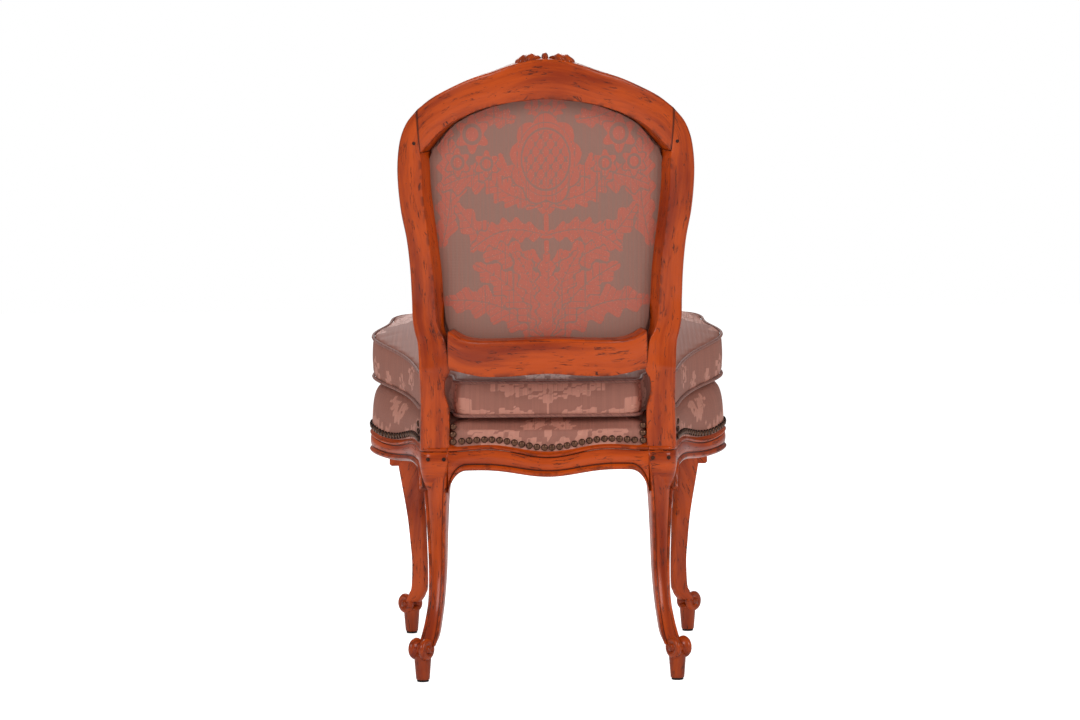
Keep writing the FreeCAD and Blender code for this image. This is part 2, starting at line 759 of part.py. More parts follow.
def block_screws(block, toward):
    """Two screws from a corner block's long face towards the leg, one above the other."""
    long_face = max(block.Faces, key=lambda face: face.normalAt(0, 0).dot(toward) * -1 * face.Area)
    start = long_face.CenterOfMass
    lift = Vector(0, 0, size("corner_block_height") / 4)
    return [aimed(screw.Shape, start + lift, toward), aimed(screw.Shape, start - lift, toward)]


half_root = math.sqrt(0.5)
screws = block_screws(rear_corner, Vector(half_root, half_root, 0))
screws += block_screws(front_corner, Vector(half_root, -half_root, 0))
screws += [mirrored(item) for item in screws]
pieces.append(add_piece("corner_block_screws", Part.makeCompound(screws)))

# Webbing: strips from front to back under strips from side to side, tacked on the rails
web_width = size("web_width")
web_grip = size("web_grip")
ledge = size("ledge")


def make_web(name, across, length_across, forward, length_forward, height):
    """One strip, by its middle across, its rear end forward, and its lengths."""
    strip = doc.addObject("Part::Box", name)
    strip.Length = length_across
    strip.Width = length_forward
    strip.setExpression("Height", "sizes.web_thickness")
    strip.Placement = FreeCAD.Placement(
        at(across - length_across / 2, forward + length_forward, height), FreeCAD.Rotation())
    return strip


FORWARD_WEB_SHARES = [-0.74, -0.37, 0, 0.37, 0.74]
SIDE_WEB_SHARES = [0.20, 0.37, 0.54, 0.71, 0.88]
forward_webs = []
side_webs = []
rail_grip = size("rail_thickness") - web_grip
for index, share in enumerate(FORWARD_WEB_SHARES):
    forward_webs.append(make_web("forward_web_%d" % index, share * rear_inner, web_width,
                                 rail_grip, size("front_block_front") - 2 * rail_grip, strip_top))
web_thickness = size("web_thickness")
for index, share in enumerate(SIDE_WEB_SHARES):
    # a strip ends where the narrower of its two edges meets the rails
    edge_step = web_width / 2 / (size("front_block_rear") - size("rear_block_depth") / 2)
    across = min(side_path(min(1, share + step))[0] for step in (-edge_step, 0, edge_step))
    _, forward = side_path(share)
    side_webs.append(make_web("side_web_%d" % index, 0, 2 * (across - rail_grip),
                              forward - web_width / 2, web_width, strip_top + web_thickness))
doc.recompute()
for name, strips in (("webbing_front_to_back", forward_webs), ("webbing_side_to_side", side_webs)):
    group = doc.addObject("Part::Compound", name)
    group.Label = name
    group.Links = strips
    pieces.append(group)
doc.recompute()

# Plan outline of the seat: arcs along the sides and front, straight at the corners
REAR_LOOP_SHARES = [0.50, 0.75, 1.00]
SIDE_LOOP_SHARES = [0.10, 0.24, 0.38, 0.49, 0.60, 0.70, 0.80, 0.90, 1.00]
FRONT_LOOP_SHARES = [0.00, 0.125, 0.25, 0.375, 0.50]
loop_middle = seat_depth / 2


def along_path(path, shares, inset):
    """Plan points at shares of a path, drawn in square to it."""
    points = []
    for share in shares:
        (across, forward), (out_across, out_forward) = path_frame(path, share)
        points.append((across - inset * out_across, forward - inset * out_forward))
    return points


def placed(point, shrink, height_of):
    """A plan point drawn towards the seat's middle by a share, at its height."""
    across, forward = point
    forward = loop_middle + (forward - loop_middle) * (1 - shrink)
    return at(across * (1 - shrink), forward, height_of(forward))


def symmetric_wire(runs, shrink, height_of):
    """Closed wire from runs of plan points on the left, from rear middle to front middle.

    A run of three or more points is arcs through each three; runs are joined by lines.
    """
    left = []
    for run in runs:
        spots = [placed(point, shrink, height_of) for point in run]
        if left and left[-1][-1].distanceToPoint(spots[0]) > size("fit_gap"):
            left.append([left[-1][-1], spots[0]])
        if len(spots) == 2:
            left.append(spots)
        else:
            left += [spots[place:place + 3] for place in range(0, len(spots) - 2, 2)]
    right = [[Vector(-spot.x, spot.y, spot.z) for spot in reversed(run)] for run in reversed(left)]
    edges = []
    for run in left + right:
        if run[0].distanceToPoint(run[-1]) > size("fit_gap"):
            edges.append(Part.LineSegment(*run) if len(run) == 2 else Part.Arc(*run))
    return closed_wire(edges)


def seat_wire(inset, shrink, height_of):
    corner = size("knee_crown")
    outer = size("front_block_outer") - inset
    front = size("front_block_front") - inset
    side = along_path(side_path, SIDE_LOOP_SHARES, inset)
    runs = [along_path(rear_path, REAR_LOOP_SHARES, inset),
            [(size("rear_block_outer") - inset, inset), side[0]],
            side,
            [(outer, front - corner), (outer - corner, front)],
            along_path(front_path, FRONT_LOOP_SHARES, inset)]
    return symmetric_wire(runs, shrink, height_of)


def cushion_wire(shrink, height_of):
    """T-shaped outline: a tongue between the posts, two ears, and the seat's sides and front."""
    radius = size("cushion_corner")
    bend = radius * (1 - math.sqrt(0.5))
    tongue = size("tongue_half_width")
    rear = size("tongue_rear")
    ear = size("ear_half_width")
    ear_rear = size("ear_rear")
    inset = size("cushion_inset")
    cut = size("cushion_corner_cut")
    side = along_path(side_path, [0.15] + SIDE_LOOP_SHARES[1:-1] + [0.95], inset)
    front = along_path(front_path, FRONT_LOOP_SHARES, inset)
    runs = [[(0, rear), (tongue - radius, rear)],
            [(tongue - radius, rear), (tongue - bend, rear + bend), (tongue, rear + radius)],
            [(tongue, ear_rear - radius), (tongue + bend, ear_rear - bend), (tongue + radius, ear_rear)],
            [(ear - radius, ear_rear), (ear - bend, ear_rear + bend), (ear, ear_rear + radius)],
            side,
            [side[-1], (size("front_block_outer") - cut, size("front_block_front") - cut), front[0]],
            front]
    return symmetric_wire(runs, shrink, height_of)


def cushion_bottom(forward):
    return size("cushion_low") + size("seat_slope") * forward


def cushion_top(forward):
    return size("cushion_low") + size("cushion_rear_thickness") + size("top_slope") * forward


# Tight seat: rows of shrink, share of the height and share of the crown
SEAT_LEVEL_SHARES = [(0.000, 0.00, 0.00), (-0.004, 0.35, 0.00), (0.000, 0.65, 0.00),
                     (0.016, 0.88, 0.00), (0.050, 1.00, 0.10), (0.130, 1.00, 0.45),
                     (0.300, 1.00, 0.80), (0.550, 1.00, 1.00)]
pad_crown = size("pad_edge_gap") - rest_gap


def seat_form(inset, base, drop):
    """Upholstered seat: plan outlines from a level base to the sloping, crowned top."""
    def level(share, crown):
        def height_of(forward):
            top = cushion_bottom(forward) - size("pad_edge_gap") - drop
            return blend(base, top, share) + crown * pad_crown
        return height_of
    return stacked([seat_wire(inset, shrink, level(share, crown))
                    for shrink, share, crown in SEAT_LEVEL_SHARES])


cover_thickness = size("cover_thickness")
web_top = strip_top + 2 * web_thickness
cloth = size("cloth_thickness")
pad_low = web_top + cloth
skirt_low = seat_rail_top - size("rail_dip")
hessian = Part.Face(seat_wire(ledge + rest_gap, 0, lambda forward: web_top)).extrude(
    Vector(0, 0, cloth))
pad_form = seat_form(ledge, pad_low, cover_thickness)
skirt_hole = Part.Face(seat_wire(ledge, 0, lambda forward: skirt_low)).extrude(
    Vector(0, 0, pad_low - skirt_low))
cover_form = seat_form(ledge - cover_thickness, skirt_low, 0)

# Loose cushion: rows of shrink, share of the thickness and share of the crown
CUSHION_LEVEL_SHARES = [(0.040, 0.000, 0.00), (0.008, 0.020, 0.00), (-0.006, 0.200, 0.00),
                        (-0.012, 0.500, 0.00), (-0.006, 0.800, 0.00), (0.008, 0.980, 0.00),
                        (0.040, 1.000, 0.20), (0.100, 1.000, 0.48), (0.190, 1.000, 0.74),
                        (0.320, 1.000, 0.92), (0.500, 1.000, 1.00)]
seam_share = 0.06


def cushion_level(share, crown, within):
    def height_of(forward):
        low = cushion_bottom(forward) + within
        high = cushion_top(forward) - within
        return blend(low, high, share) + crown * size("cushion_crown")
    return height_of


def cushion_form(within):
    """Cushion drawn in by a cloth's thickness: 0 outside the cover, or its filling."""
    return stacked([cushion_wire(shrink + within / loop_middle, cushion_level(share, crown, within))
                    for shrink, share, crown in CUSHION_LEVEL_SHARES])


def make_welt(share):
    """Piped seam: a half-round rim that stands out from the cushion's side."""
    radius = size("welt_radius")
    level = cushion_level(share, 0, 0)

    def rim_wire(reach, rise):
        return cushion_wire(-reach / loop_middle, lambda forward: level(forward) + rise)

    wires = []
    for turn in (-90, -50, 0, 50, 90):
        wires.append(rim_wire(radius * math.cos(math.radians(turn)),
                              radius * math.sin(math.radians(turn))))
    hole = stacked([rim_wire(0, -2 * radius), rim_wire(0, 2 * radius)])
    return stacked(wires).cut(hole)


cushion_outside = cushion_form(0)
cushion_inside = cushion_form(size("cushion_cloth"))

pieces.append(add_piece("cushion_core", cushion_inside))
pieces.append(add_piece("cushion_cover", biggest(cushion_outside.cut(cushion_inside))))
pieces.append(add_piece("cushion_welt_bottom", biggest(make_welt(seam_share))))
pieces.append(add_piece("cushion_welt_top", biggest(make_welt(1 - seam_share))))

# The seat's cloths are cut round the posts and over the front blocks
def corner_box(inner, near, far, low, high):
    """Box at the left corner of the seat, from an inner distance out past the side."""
    width = size("side_bulge") + size("front_block_outer") - inner
    return Part.makeBox(width, far - near, high - low, at(inner, far, low))


post_inner = POST_SHARES[0][2] * back_half_width - rest_gap
seat_top = size("cushion_low") + size("seat_slope") * seat_depth
post_notch = corner_box(post_inner, -overrun, size("rear_block_depth") + rest_gap,
                        skirt_low - overrun, seat_top + overrun)
block_notch = corner_box(front_inner, size("front_block_rear"), seat_depth + overrun,
                         skirt_low - overrun, seat_rail_top)
notches = [post_notch, mirrored(post_notch)]
pieces.append(add_piece("seat_hessian", biggest(hessian.cut(notches))))
pieces.append(add_piece("seat_pad", biggest(pad_form.cut(notches))))
seat_rails = [item.Shape for item in pieces if item.Label.endswith("seat_rail")
              or item.Label.startswith("side_seat_rail")]
seat_cover = biggest(cover_form.cut([pad_form, skirt_hole]))
seat_cover = biggest(seat_cover.cut(notches + [block_notch, mirrored(block_notch)]))
pieces.append(add_piece("seat_cover", biggest(seat_cover.cut(seat_rails))))

# Back upholstery: rows of across, lower and upper edge of the opening, as shares of the back's
# half width and of its height above the seat rails
OPENING_SHARES = [(0.000, 0.262, 0.902), (0.239, 0.260, 0.894), (0.382, 0.260, 0.883),
                  (0.539, 0.260, 0.862), (0.640, 0.262, 0.842), (0.700, 0.280, 0.822),
                  (0.745, 0.330, 0.802), (0.778, 0.464, 0.786), (0.811, 0.572, 0.778),
                  (0.842, 0.670, 0.750)]
opening_edge_share = OPENING_SHARES[-1][0]


def across_back(make_section):
    """Loft of upright sections from one side of the opening to the other."""
    left = [make_section(*row, 1) for row in OPENING_SHARES]
    right = [make_section(*row, -1) for row in OPENING_SHARES[1:]]
    return stacked(list(reversed(left)) + right)


def back_spot(across, height, depth, side):
    point = back_point(across, height, depth)
    return Vector(side * point.x, point.y, point.z)


def panel_depth(height):
    share = (height - lower_high) / (crest_top - lower_high)
    return blend(size("lower_rail_thickness") + size("fit_gap"), size("panel_depth_top"), share)


def slab_section(near, far):
    """Upright section between two depths, given as functions of height."""
    def make_section(across_share, low_share, high_share, side):
        across = across_share * back_half_width
        low = seat_rail_top + low_share * back_height
        high = seat_rail_top + high_share * back_height
        return polygon([back_spot(across, height, depth(height), side) for height, depth in (
            (low, near), (high, near), (high, far), (low, far))])
    return make_section


def pillow_section(overlap, base, edge_thickness, thickness):
    """Upright section of the stuffed front: flat at its base, bulging towards the sitter."""
    def make_section(across_share, low_share, high_share, side):
        across = across_share * back_half_width * (1 + overlap / back_half_width)
        low = seat_rail_top + low_share * back_height - overlap
        high = seat_rail_top + high_share * back_height + overlap
        fullness = math.sqrt(1 - 0.95 * (across_share / opening_edge_share)**4)
        edge = back_thickness + edge_thickness
        front = blend(edge, back_thickness + thickness, fullness)
        low_back = back_spot(across, low, base, side)
        high_back = back_spot(across, high, base, side)
        low_edge = back_spot(across, low, edge, side)
        high_edge = back_spot(across, high, edge, side)
        middle = back_spot(across, (low + high) / 2, front, side)
        return closed_wire([
            Part.LineSegment(low_back, low_edge), Part.Arc(low_edge, middle, high_edge),
            Part.LineSegment(high_edge, high_back), Part.LineSegment(high_back, low_back)])
    return make_section


back_frame = [item.Shape for item in pieces if item.Label.startswith(
    ("rear_leg", "crest", "lower_back"))]
outer_cover = across_back(slab_section(panel_depth, lambda height: panel_depth(height) + cloth))
lining = across_back(slab_section(lambda height: panel_depth(height) + cloth,
                                  lambda height: panel_depth(height) + 2 * cloth))
stuffing = across_back(slab_section(lambda height: panel_depth(height) + 2 * cloth,
                                    lambda height: back_thickness + cloth))
frame_front = back_thickness + rest_gap
pillow = across_back(pillow_section(size("back_pad_overlap"), frame_front, cloth,
                                    size("back_pad_thickness")))
pillow_hole = across_back(pillow_section(size("back_pad_overlap"), back_thickness / 2, cloth,
                                         size("back_pad_thickness")))
pillow_cover = across_back(pillow_section(size("back_cover_overlap"), frame_front, cover_thickness,
                                          size("back_pad_thickness") + cover_thickness))
pieces.append(add_piece("back_outer_cover", biggest(outer_cover.cut(back_frame))))
pieces.append(add_piece("back_lining", biggest(lining.cut(back_frame))))
pieces.append(add_piece("back_pad", biggest(biggest(stuffing.cut(back_frame)).fuse(pillow))))
pieces.append(add_piece("back_inner_cover", biggest(pillow_cover.cut(pillow_hole))))

# Upholstery nails: a domed head on a shank, driven in rows
nail_radius = size("nail_radius")
nail_rise = size("nail_rise")
dome = doc.addObject("Part::Sphere", "nail_dome")
dome.setExpression("Radius", "(sizes.nail_radius^2 + sizes.nail_rise^2) / (2 * sizes.nail_rise)")
dome.setExpression("Angle1",
                   "asin(1 - 2 * sizes.nail_rise^2 / (sizes.nail_radius^2 + sizes.nail_rise^2))")
dome.setExpression("Placement.Base.z",
                   "sizes.nail_rise - (sizes.nail_radius^2 + sizes.nail_rise^2) / (2 * sizes.nail_rise)")
shank = doc.addObject("Part::Cylinder", "nail_shank")
shank.setExpression("Radius", "sizes.nail_shank_radius")
shank.setExpression("Height", "sizes.nail_shank_length")
shank.setExpression("Placement.Base.z", "-sizes.nail_shank_length")
nail = doc.addObject("Part::Fuse", "nail")
nail.Base = dome
nail.Tool = shank
doc.recompute()
nail_pitch = size("nail_pitch")


def nails_along(spots, first):
    """Nails at an even pitch along a row of (place, outward direction), the first run in."""
    placed_nails = []
    due = first
    for (here, outward), (there, _) in zip(spots, spots[1:]):
        gap = here.distanceToPoint(there)
        while due <= gap:
            placed_nails.append(aimed(nail.Shape, here + (there - here) * (due / gap), outward))
            due += nail_pitch
        due -= gap
    return placed_nails


def rail_spots(path, shares):
    """Places on the skirt of the seat cover, above a rail's moulding."""
    spots = []
    for share in shares:
        _, (out_across, out_forward) = path_frame(path, share)
        top, _ = rail_edges(share, 0)
        spots.append((inset_point(path, share, ledge - cover_thickness, top + size("nail_lift")),
                      Vector(out_across, -out_forward, 0)))
    return spots


row_shares = [step / 100 for step in range(101)]
rear_row = rail_spots(rear_path, row_shares)
post_low = seat_rail_top + size("nail_lift")
post_rise = Vector(0, 0, size("post_nail_rise"))
tack_face = ledge - cover_thickness
inner_low = at(post_inner - nail_radius - rest_gap, tack_face, post_low)
# the rear row stops a head's width short of the short row beside the post
seat_nails = [item for item in nails_along([spot for spot in rear_row if spot[0].x >= 0], nail_pitch / 2)
              if item.Placement.Base.x <= inner_low.x - 2 * nail_radius]
side_row = [spot for spot in rail_spots(side_path, row_shares)
            if rear_face - spot[0].y > size("rear_block_depth") + nail_radius]
corner_row = [at(size("front_block_outer") - tack_face,
                 size("front_block_front") - tack_face - size("knee_crown"), post_low),
              at(size("front_block_outer") - tack_face - size("knee_crown"),
                 size("front_block_front") - tack_face, post_low)]
corner_outward = Vector(math.sqrt(0.5), -math.sqrt(0.5), 0)
front_row = [spot for spot in rail_spots(front_path, row_shares) if spot[0].x >= 0]
whole_row = side_row + [(place, corner_outward) for place in corner_row] + front_row
seat_nails += nails_along(whole_row, nail_pitch)
# a short row up each side of each post
outer_low, outer_way = side_row[0]
for low, way in ((inner_low, to_rear), (outer_low, outer_way)):
    seat_nails += nails_along([(low, way), (low + post_rise, way)], 0)
seat_nails += [mirrored(item) for item in seat_nails]
pieces.append(add_piece("seat_nails", Part.makeCompound(seat_nails)))

back_nails = []
nail_depth = back_thickness + cover_thickness
offset = size("back_nail_offset")
rim = []
for across_share, low_share, high_share in OPENING_SHARES:
    across = across_share * back_half_width * (1 + offset / back_half_width)
    rim.append((across, seat_rail_top + low_share * back_height - offset))
for across_share, low_share, high_share in reversed(OPENING_SHARES):
    across = across_share * back_half_width * (1 + offset / back_half_width)
    rim.append((across, seat_rail_top + high_share * back_height + offset))
rim_spots = []
for across, height in rim:
    turn = back_turn(across)
    way = Vector(-math.sin(turn), -math.cos(turn), 0)
    rim_spots.append((back_point(across, height, nail_depth), way))
back_nails = nails_along(rim_spots, nail_pitch / 2)
back_nails += [mirrored(item) for item in back_nails]
pieces.append(add_piece("back_nails", Part.makeCompound(back_nails)))


# Check every object, then write one file for each piece
doc.recompute()
for item in doc.Objects:
    for state in ("Invalid", "Error"):
        if state in item.State:
            raise RuntimeError("%s is %s" % (item.Label, state))
for piece in pieces:
    if piece.Shape.isNull() or not piece.Shape.isValid():
        raise RuntimeError("%s has no valid shape" % piece.Label)
for piece in pieces:
    piece.Shape.exportStep("parts/%s.step" % piece.Label)
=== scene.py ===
import math

import bpy
import numpy as np
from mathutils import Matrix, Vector


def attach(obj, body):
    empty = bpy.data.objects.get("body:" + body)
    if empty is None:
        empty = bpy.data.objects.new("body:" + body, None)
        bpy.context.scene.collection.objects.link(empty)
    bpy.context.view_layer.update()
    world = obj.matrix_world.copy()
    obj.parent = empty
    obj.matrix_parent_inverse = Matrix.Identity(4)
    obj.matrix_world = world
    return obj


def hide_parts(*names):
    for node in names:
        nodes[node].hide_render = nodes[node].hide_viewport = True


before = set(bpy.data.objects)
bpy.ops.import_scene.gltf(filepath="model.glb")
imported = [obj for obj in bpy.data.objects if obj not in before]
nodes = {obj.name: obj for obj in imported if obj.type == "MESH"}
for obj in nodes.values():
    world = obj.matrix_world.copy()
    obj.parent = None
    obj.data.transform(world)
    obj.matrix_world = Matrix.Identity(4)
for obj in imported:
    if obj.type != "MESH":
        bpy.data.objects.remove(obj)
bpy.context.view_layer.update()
scene = bpy.context.scene

# Sizes of the chair in metres, the same as those of its solids. The chair faces -Y, the
# sitter's left is +X, and "forward" is measured from the rear face of the rear seat rail.
half_depth = 0.281
rail_top, rail_low, strip_top = 0.329, 0.295, 0.347
crest_top = 0.881
back_height = crest_top - rail_top
back_half, back_radius, back_lean, back_thick = 0.2095, 0.420, 0.062, 0.036
post_line = 0.163
post_bow = back_radius - math.sqrt(back_radius**2 - post_line**2)
rear_face = half_depth - back_lean - post_bow
seat_depth = rear_face + half_depth
lower_low, lower_high, lower_thick = 0.438, 0.484, 0.030
rear_inner, rear_outer, rear_deep = 0.144, 0.184, 0.038
front_inner, front_outer, front_rear, front_front = 0.208, 0.244, 0.398, 0.440
rail_thick, rail_dip, ear_length, ear_drop, ledge = 0.024, 0.009, 0.026, 0.040, 0.004
nail_pitch, nail_radius, nail_rise, nail_lift = 0.0109, 0.0050, 0.003, 0.0085
cover_thick = 0.002
cushion_low, cushion_rear, cushion_crown = 0.370, 0.055, 0.012
seat_slope, top_slope = 0.128, 0.171


# Curves and grids

def along(forward):
    """World Y of a distance forward of the rear seat rail."""
    return rear_face - forward


def back_spots(across, height, depth):
    """Points of the back: a cylinder that leans rearwards, at a depth in from its rear surface."""
    turn = np.arcsin(np.clip(across / back_radius, -1, 1))
    bow = back_radius * np.cos(turn) - (back_radius - post_bow)
    lean = back_lean * (height - rail_top) / back_height
    return np.stack([across - depth * np.sin(turn), along(depth * np.cos(turn) - bow - lean),
                     height + 0 * across], -1)


def smooth_rows(rows, count):
    """Rows of numbers resampled evenly on a cubic through them, spaced by root distance."""
    rows = np.asarray(rows, float)
    steps = np.linalg.norm(np.diff(rows, axis=0), axis=1) ** 0.5
    knots = np.r_[0, np.cumsum(steps)]
    slope = np.gradient(rows, knots, axis=0)
    wanted = np.linspace(0, knots[-1], count)
    place = np.clip(np.searchsorted(knots, wanted, "right") - 1, 0, len(knots) - 2)
    width = (knots[place + 1] - knots[place])[:, None]
    share = (wanted - knots[place])[:, None] / width
    first, second = rows[place], rows[place + 1]
    low, high = slope[place] * width, slope[place + 1] * width
    return ((2 * share**3 - 3 * share**2 + 1) * first + (share**3 - 2 * share**2 + share) * low
            + (3 * share**2 - 2 * share**3) * second + (share**3 - share**2) * high)


def even_line(points, count, closed=False):
    """Points at equal steps along a broken line."""
    points = np.asarray(points, float)
    if closed:
        points = np.vstack([points, points[:1]])
    run = np.r_[0, np.cumsum(np.linalg.norm(np.diff(points, axis=0), axis=1))]
    wanted = np.linspace(0, run[-1], count, endpoint=not closed)
    return np.stack([np.interp(wanted, run, column) for column in points.T], -1)


def rolling_mean(points, reach):
    """Closed line smoothed by a mean over each point's neighbours."""
    return sum(np.roll(points, step, 0) for step in range(-reach, reach + 1)) / (2 * reach + 1)


def smooth_step(value, low, high):
    """0 below low, 1 above high, an even S between them."""
    share = np.clip((value - low) / (high - low), 0, 1)
    return share * share * (3 - 2 * share)


def full_turn(count):
    """Angles of a full turn in even steps."""
    return np.linspace(0, 2 * math.pi, count, endpoint=False)


def grid_faces(rows, columns, closed):
    """Quads of a grid of rows by columns; closed joins the last column to the first."""
    row = np.arange(rows - 1)[:, None]
    column = np.arange(columns if closed else columns - 1)[None, :]
    after = (column + 1) % columns
    quads = np.stack([row * columns + column, row * columns + after,
                      (row + 1) * columns + after, (row + 1) * columns + column], -1)
    return quads.reshape(-1, 4)


def placed(name, data):
    """An object of some data, linked into the scene."""
    item = bpy.data.objects.new(name, data)
    scene.collection.objects.link(item)
    return item


def make_mesh(name, points, faces, body, marks=None):
    """A piece from points and faces; marks are values per point, kept as attributes."""
    mesh = bpy.data.meshes.new(name)
    mesh.from_pydata(points.reshape(-1, 3).tolist(), [], faces)
    mesh.update()
    add_marks(mesh, marks or {})
    mesh.polygons.foreach_set("use_smooth", np.full(len(mesh.polygons), True))
    piece = placed(name, mesh)
    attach(piece, body)
    return piece


def add_marks(mesh, marks):
    """Values per point as attributes: numbers, or vectors of three."""
    for mark, values in marks.items():
        values = np.asarray(values, np.float32)
        if values.ndim == 2:
            layer = mesh.attributes.new(mark, "FLOAT_VECTOR", "POINT")
            layer.data.foreach_set("vector", values.ravel())
        else:
            mesh.attributes.new(mark, "FLOAT", "POINT").data.foreach_set("value", values.ravel())


class Stock:
    """Closed shells gathered into one mesh, each with the same marks, all facing outwards."""

    def __init__(self):
        self.points, self.faces, self.marks, self.count = [], [], {}, 0

    def shell(self, grid, marks, caps=True):
        """Adds a tube: a closed profile carried along its stations, with a cap at each end."""
        rows, columns = grid.shape[:2]
        flat = grid.reshape(-1, 3)
        quads = grid_faces(rows, columns, True)
        a, b, c, d = (flat[quads[:, corner]] for corner in range(4))
        volume = (a * np.cross(b, c)).sum() + (a * np.cross(c, d)).sum()
        ends = [list(range(columns))[::-1], [(rows - 1) * columns + i for i in range(columns)]]
        if volume < 0:
            quads, ends = quads[:, ::-1], [end[::-1] for end in ends]
        self.faces += (quads + self.count).tolist()
        if caps:
            self.faces += [[index + self.count for index in end] for end in ends]
        self.points.append(flat)
        for mark, values in marks.items():
            values = np.asarray(values, float)
            shape = (rows, columns, 3) if mark == "grain" else (rows, columns)
            full = np.broadcast_to(values, shape).reshape((-1, 3) if mark == "grain" else -1)
            self.marks.setdefault(mark, []).append(full)
        self.count += len(flat)

    def piece(self, name, body):
        marks = {mark: np.concatenate(values) for mark, values in self.marks.items()}
        return make_mesh(name, np.concatenate(self.points), self.faces, body, marks)


def grain_of(grid, offset):
    """Grain coordinates of a bar: distance round it, distance along it, and its own offset."""
    around = np.linalg.norm(np.diff(grid, axis=1, append=grid[:, :1]), axis=2).cumsum(1)
    middle = grid.mean(1)
    run = np.r_[0, np.cumsum(np.linalg.norm(np.diff(middle, axis=0), axis=1))]
    return np.stack([around, np.repeat(run[:, None], grid.shape[1], 1),
                     np.full(around.shape, offset)], -1)


def lathe(profile, base, axis, columns=28):
    """Turned form: rows of radius and distance along an axis, carried round it."""
    axis = np.asarray(axis, float) / np.linalg.norm(axis)
    side = np.cross(axis, [0, 0, 1]) if abs(axis[2]) < 0.9 else np.array([1.0, 0, 0])
    side = side / np.linalg.norm(side)
    other = np.cross(axis, side)
    angle = full_turn(columns)
    ring = side * np.cos(angle)[:, None] + other * np.sin(angle)[:, None]
    profile = np.asarray(profile, float)
    return (np.asarray(base) + axis * profile[:, 1, None, None]
            + ring[None] * profile[:, 0, None, None])


# Back frame

# Points along each straight edge and each rounded corner of a profile
EDGE_POINTS, ARC_POINTS = 9, 5


def turned_profile(width, thick, radii, crown):
    """Rounded rectangle: four straight edges joined by quarter circles, the first edge crowned.

    Gives, for each station, run from the outer edge and rise in from the rear face.
    """
    width, thick = np.asarray(width)[:, None], np.asarray(thick)[:, None]
    share = np.linspace(0, 1, EDGE_POINTS, endpoint=False)[None, :]
    angle = np.linspace(0, math.pi / 2, ARC_POINTS, endpoint=False)[None, :]
    first, second, third, fourth = radii
    bulge = crown * 4 * share * (1 - share)
    runs = [first + (width - first - second) * share, width - second + second * np.sin(angle),
            width + 0 * share, width - third + third * np.cos(angle),
            width - third - (width - third - fourth) * share,
            fourth - fourth * np.sin(angle) + 0 * width,
            0 * share + 0 * width, first - first * np.cos(angle) + 0 * width]
    rises = [-bulge + 0 * width, second - second * np.cos(angle) + 0 * width,
             second + (thick - second - third) * share, thick - third + third * np.sin(angle),
             thick + 0 * share, thick - fourth + fourth * np.cos(angle),
             thick - fourth - (thick - fourth - first) * share,
             first - first * np.sin(angle) + 0 * width]
    return np.concatenate(runs, 1), np.concatenate(rises, 1)


def corner_wear(strengths):
    """Edge wear per point of a rounded profile: strong on each rounded corner."""
    return np.concatenate([[0.0] * EDGE_POINTS + [strength] * ARC_POINTS
                           for strength in strengths])


# Rows of outer edge across and height and inner edge across and height, as shares of the
# back's half width and of its height above the seat rails
POST_SHARES = [
    (0.872, -0.006, 0.678, -0.006), (0.871, 0.025, 0.678, 0.025), (0.869, 0.056, 0.678, 0.056),
    (0.865, 0.100, 0.680, 0.100), (0.863, 0.143, 0.708, 0.143), (0.862, 0.174, 0.704, 0.174),
    (0.862, 0.205, 0.668, 0.205), (0.864, 0.241, 0.683, 0.241), (0.873, 0.277, 0.699, 0.277),
    (0.893, 0.304, 0.740, 0.308), (0.907, 0.333, 0.756, 0.333), (0.913, 0.384, 0.767, 0.384),
    (0.922, 0.464, 0.778, 0.464), (0.943, 0.542, 0.802, 0.542), (0.981, 0.618, 0.827, 0.618),
    (1.000, 0.696, 0.844, 0.690), (0.999, 0.746, 0.846, 0.735), (0.983, 0.801, 0.848, 0.752),
    (0.947, 0.839, 0.849, 0.761), (0.869, 0.876, 0.850, 0.767)]
CREST_SHARES = [
    (0.869, 0.876, 0.850, 0.767), (0.773, 0.904, 0.790, 0.792), (0.637, 0.931, 0.678, 0.833),
    (0.501, 0.953, 0.539, 0.862), (0.368, 0.968, 0.382, 0.883), (0.234, 0.985, 0.239, 0.894),
    (0.100, 0.997, 0.100, 0.900), (0.000, 1.000, 0.000, 0.902)]
turned_from, turned_to = 0.205, 0.384
# A member laps past its outer and both edges, the posts swell, and their feet stand set in
outer_lap, edge_lap, post_swell, foot_set_in = 0.0012, 0.002, 0.0022, 0.0022
member_radii, member_crown = (0.0045, 0.0018, 0.004, 0.006), 0.0012
foot_ends, swell_from, swell_to = 0.19, (0.10, 0.25), (0.74, 0.86)


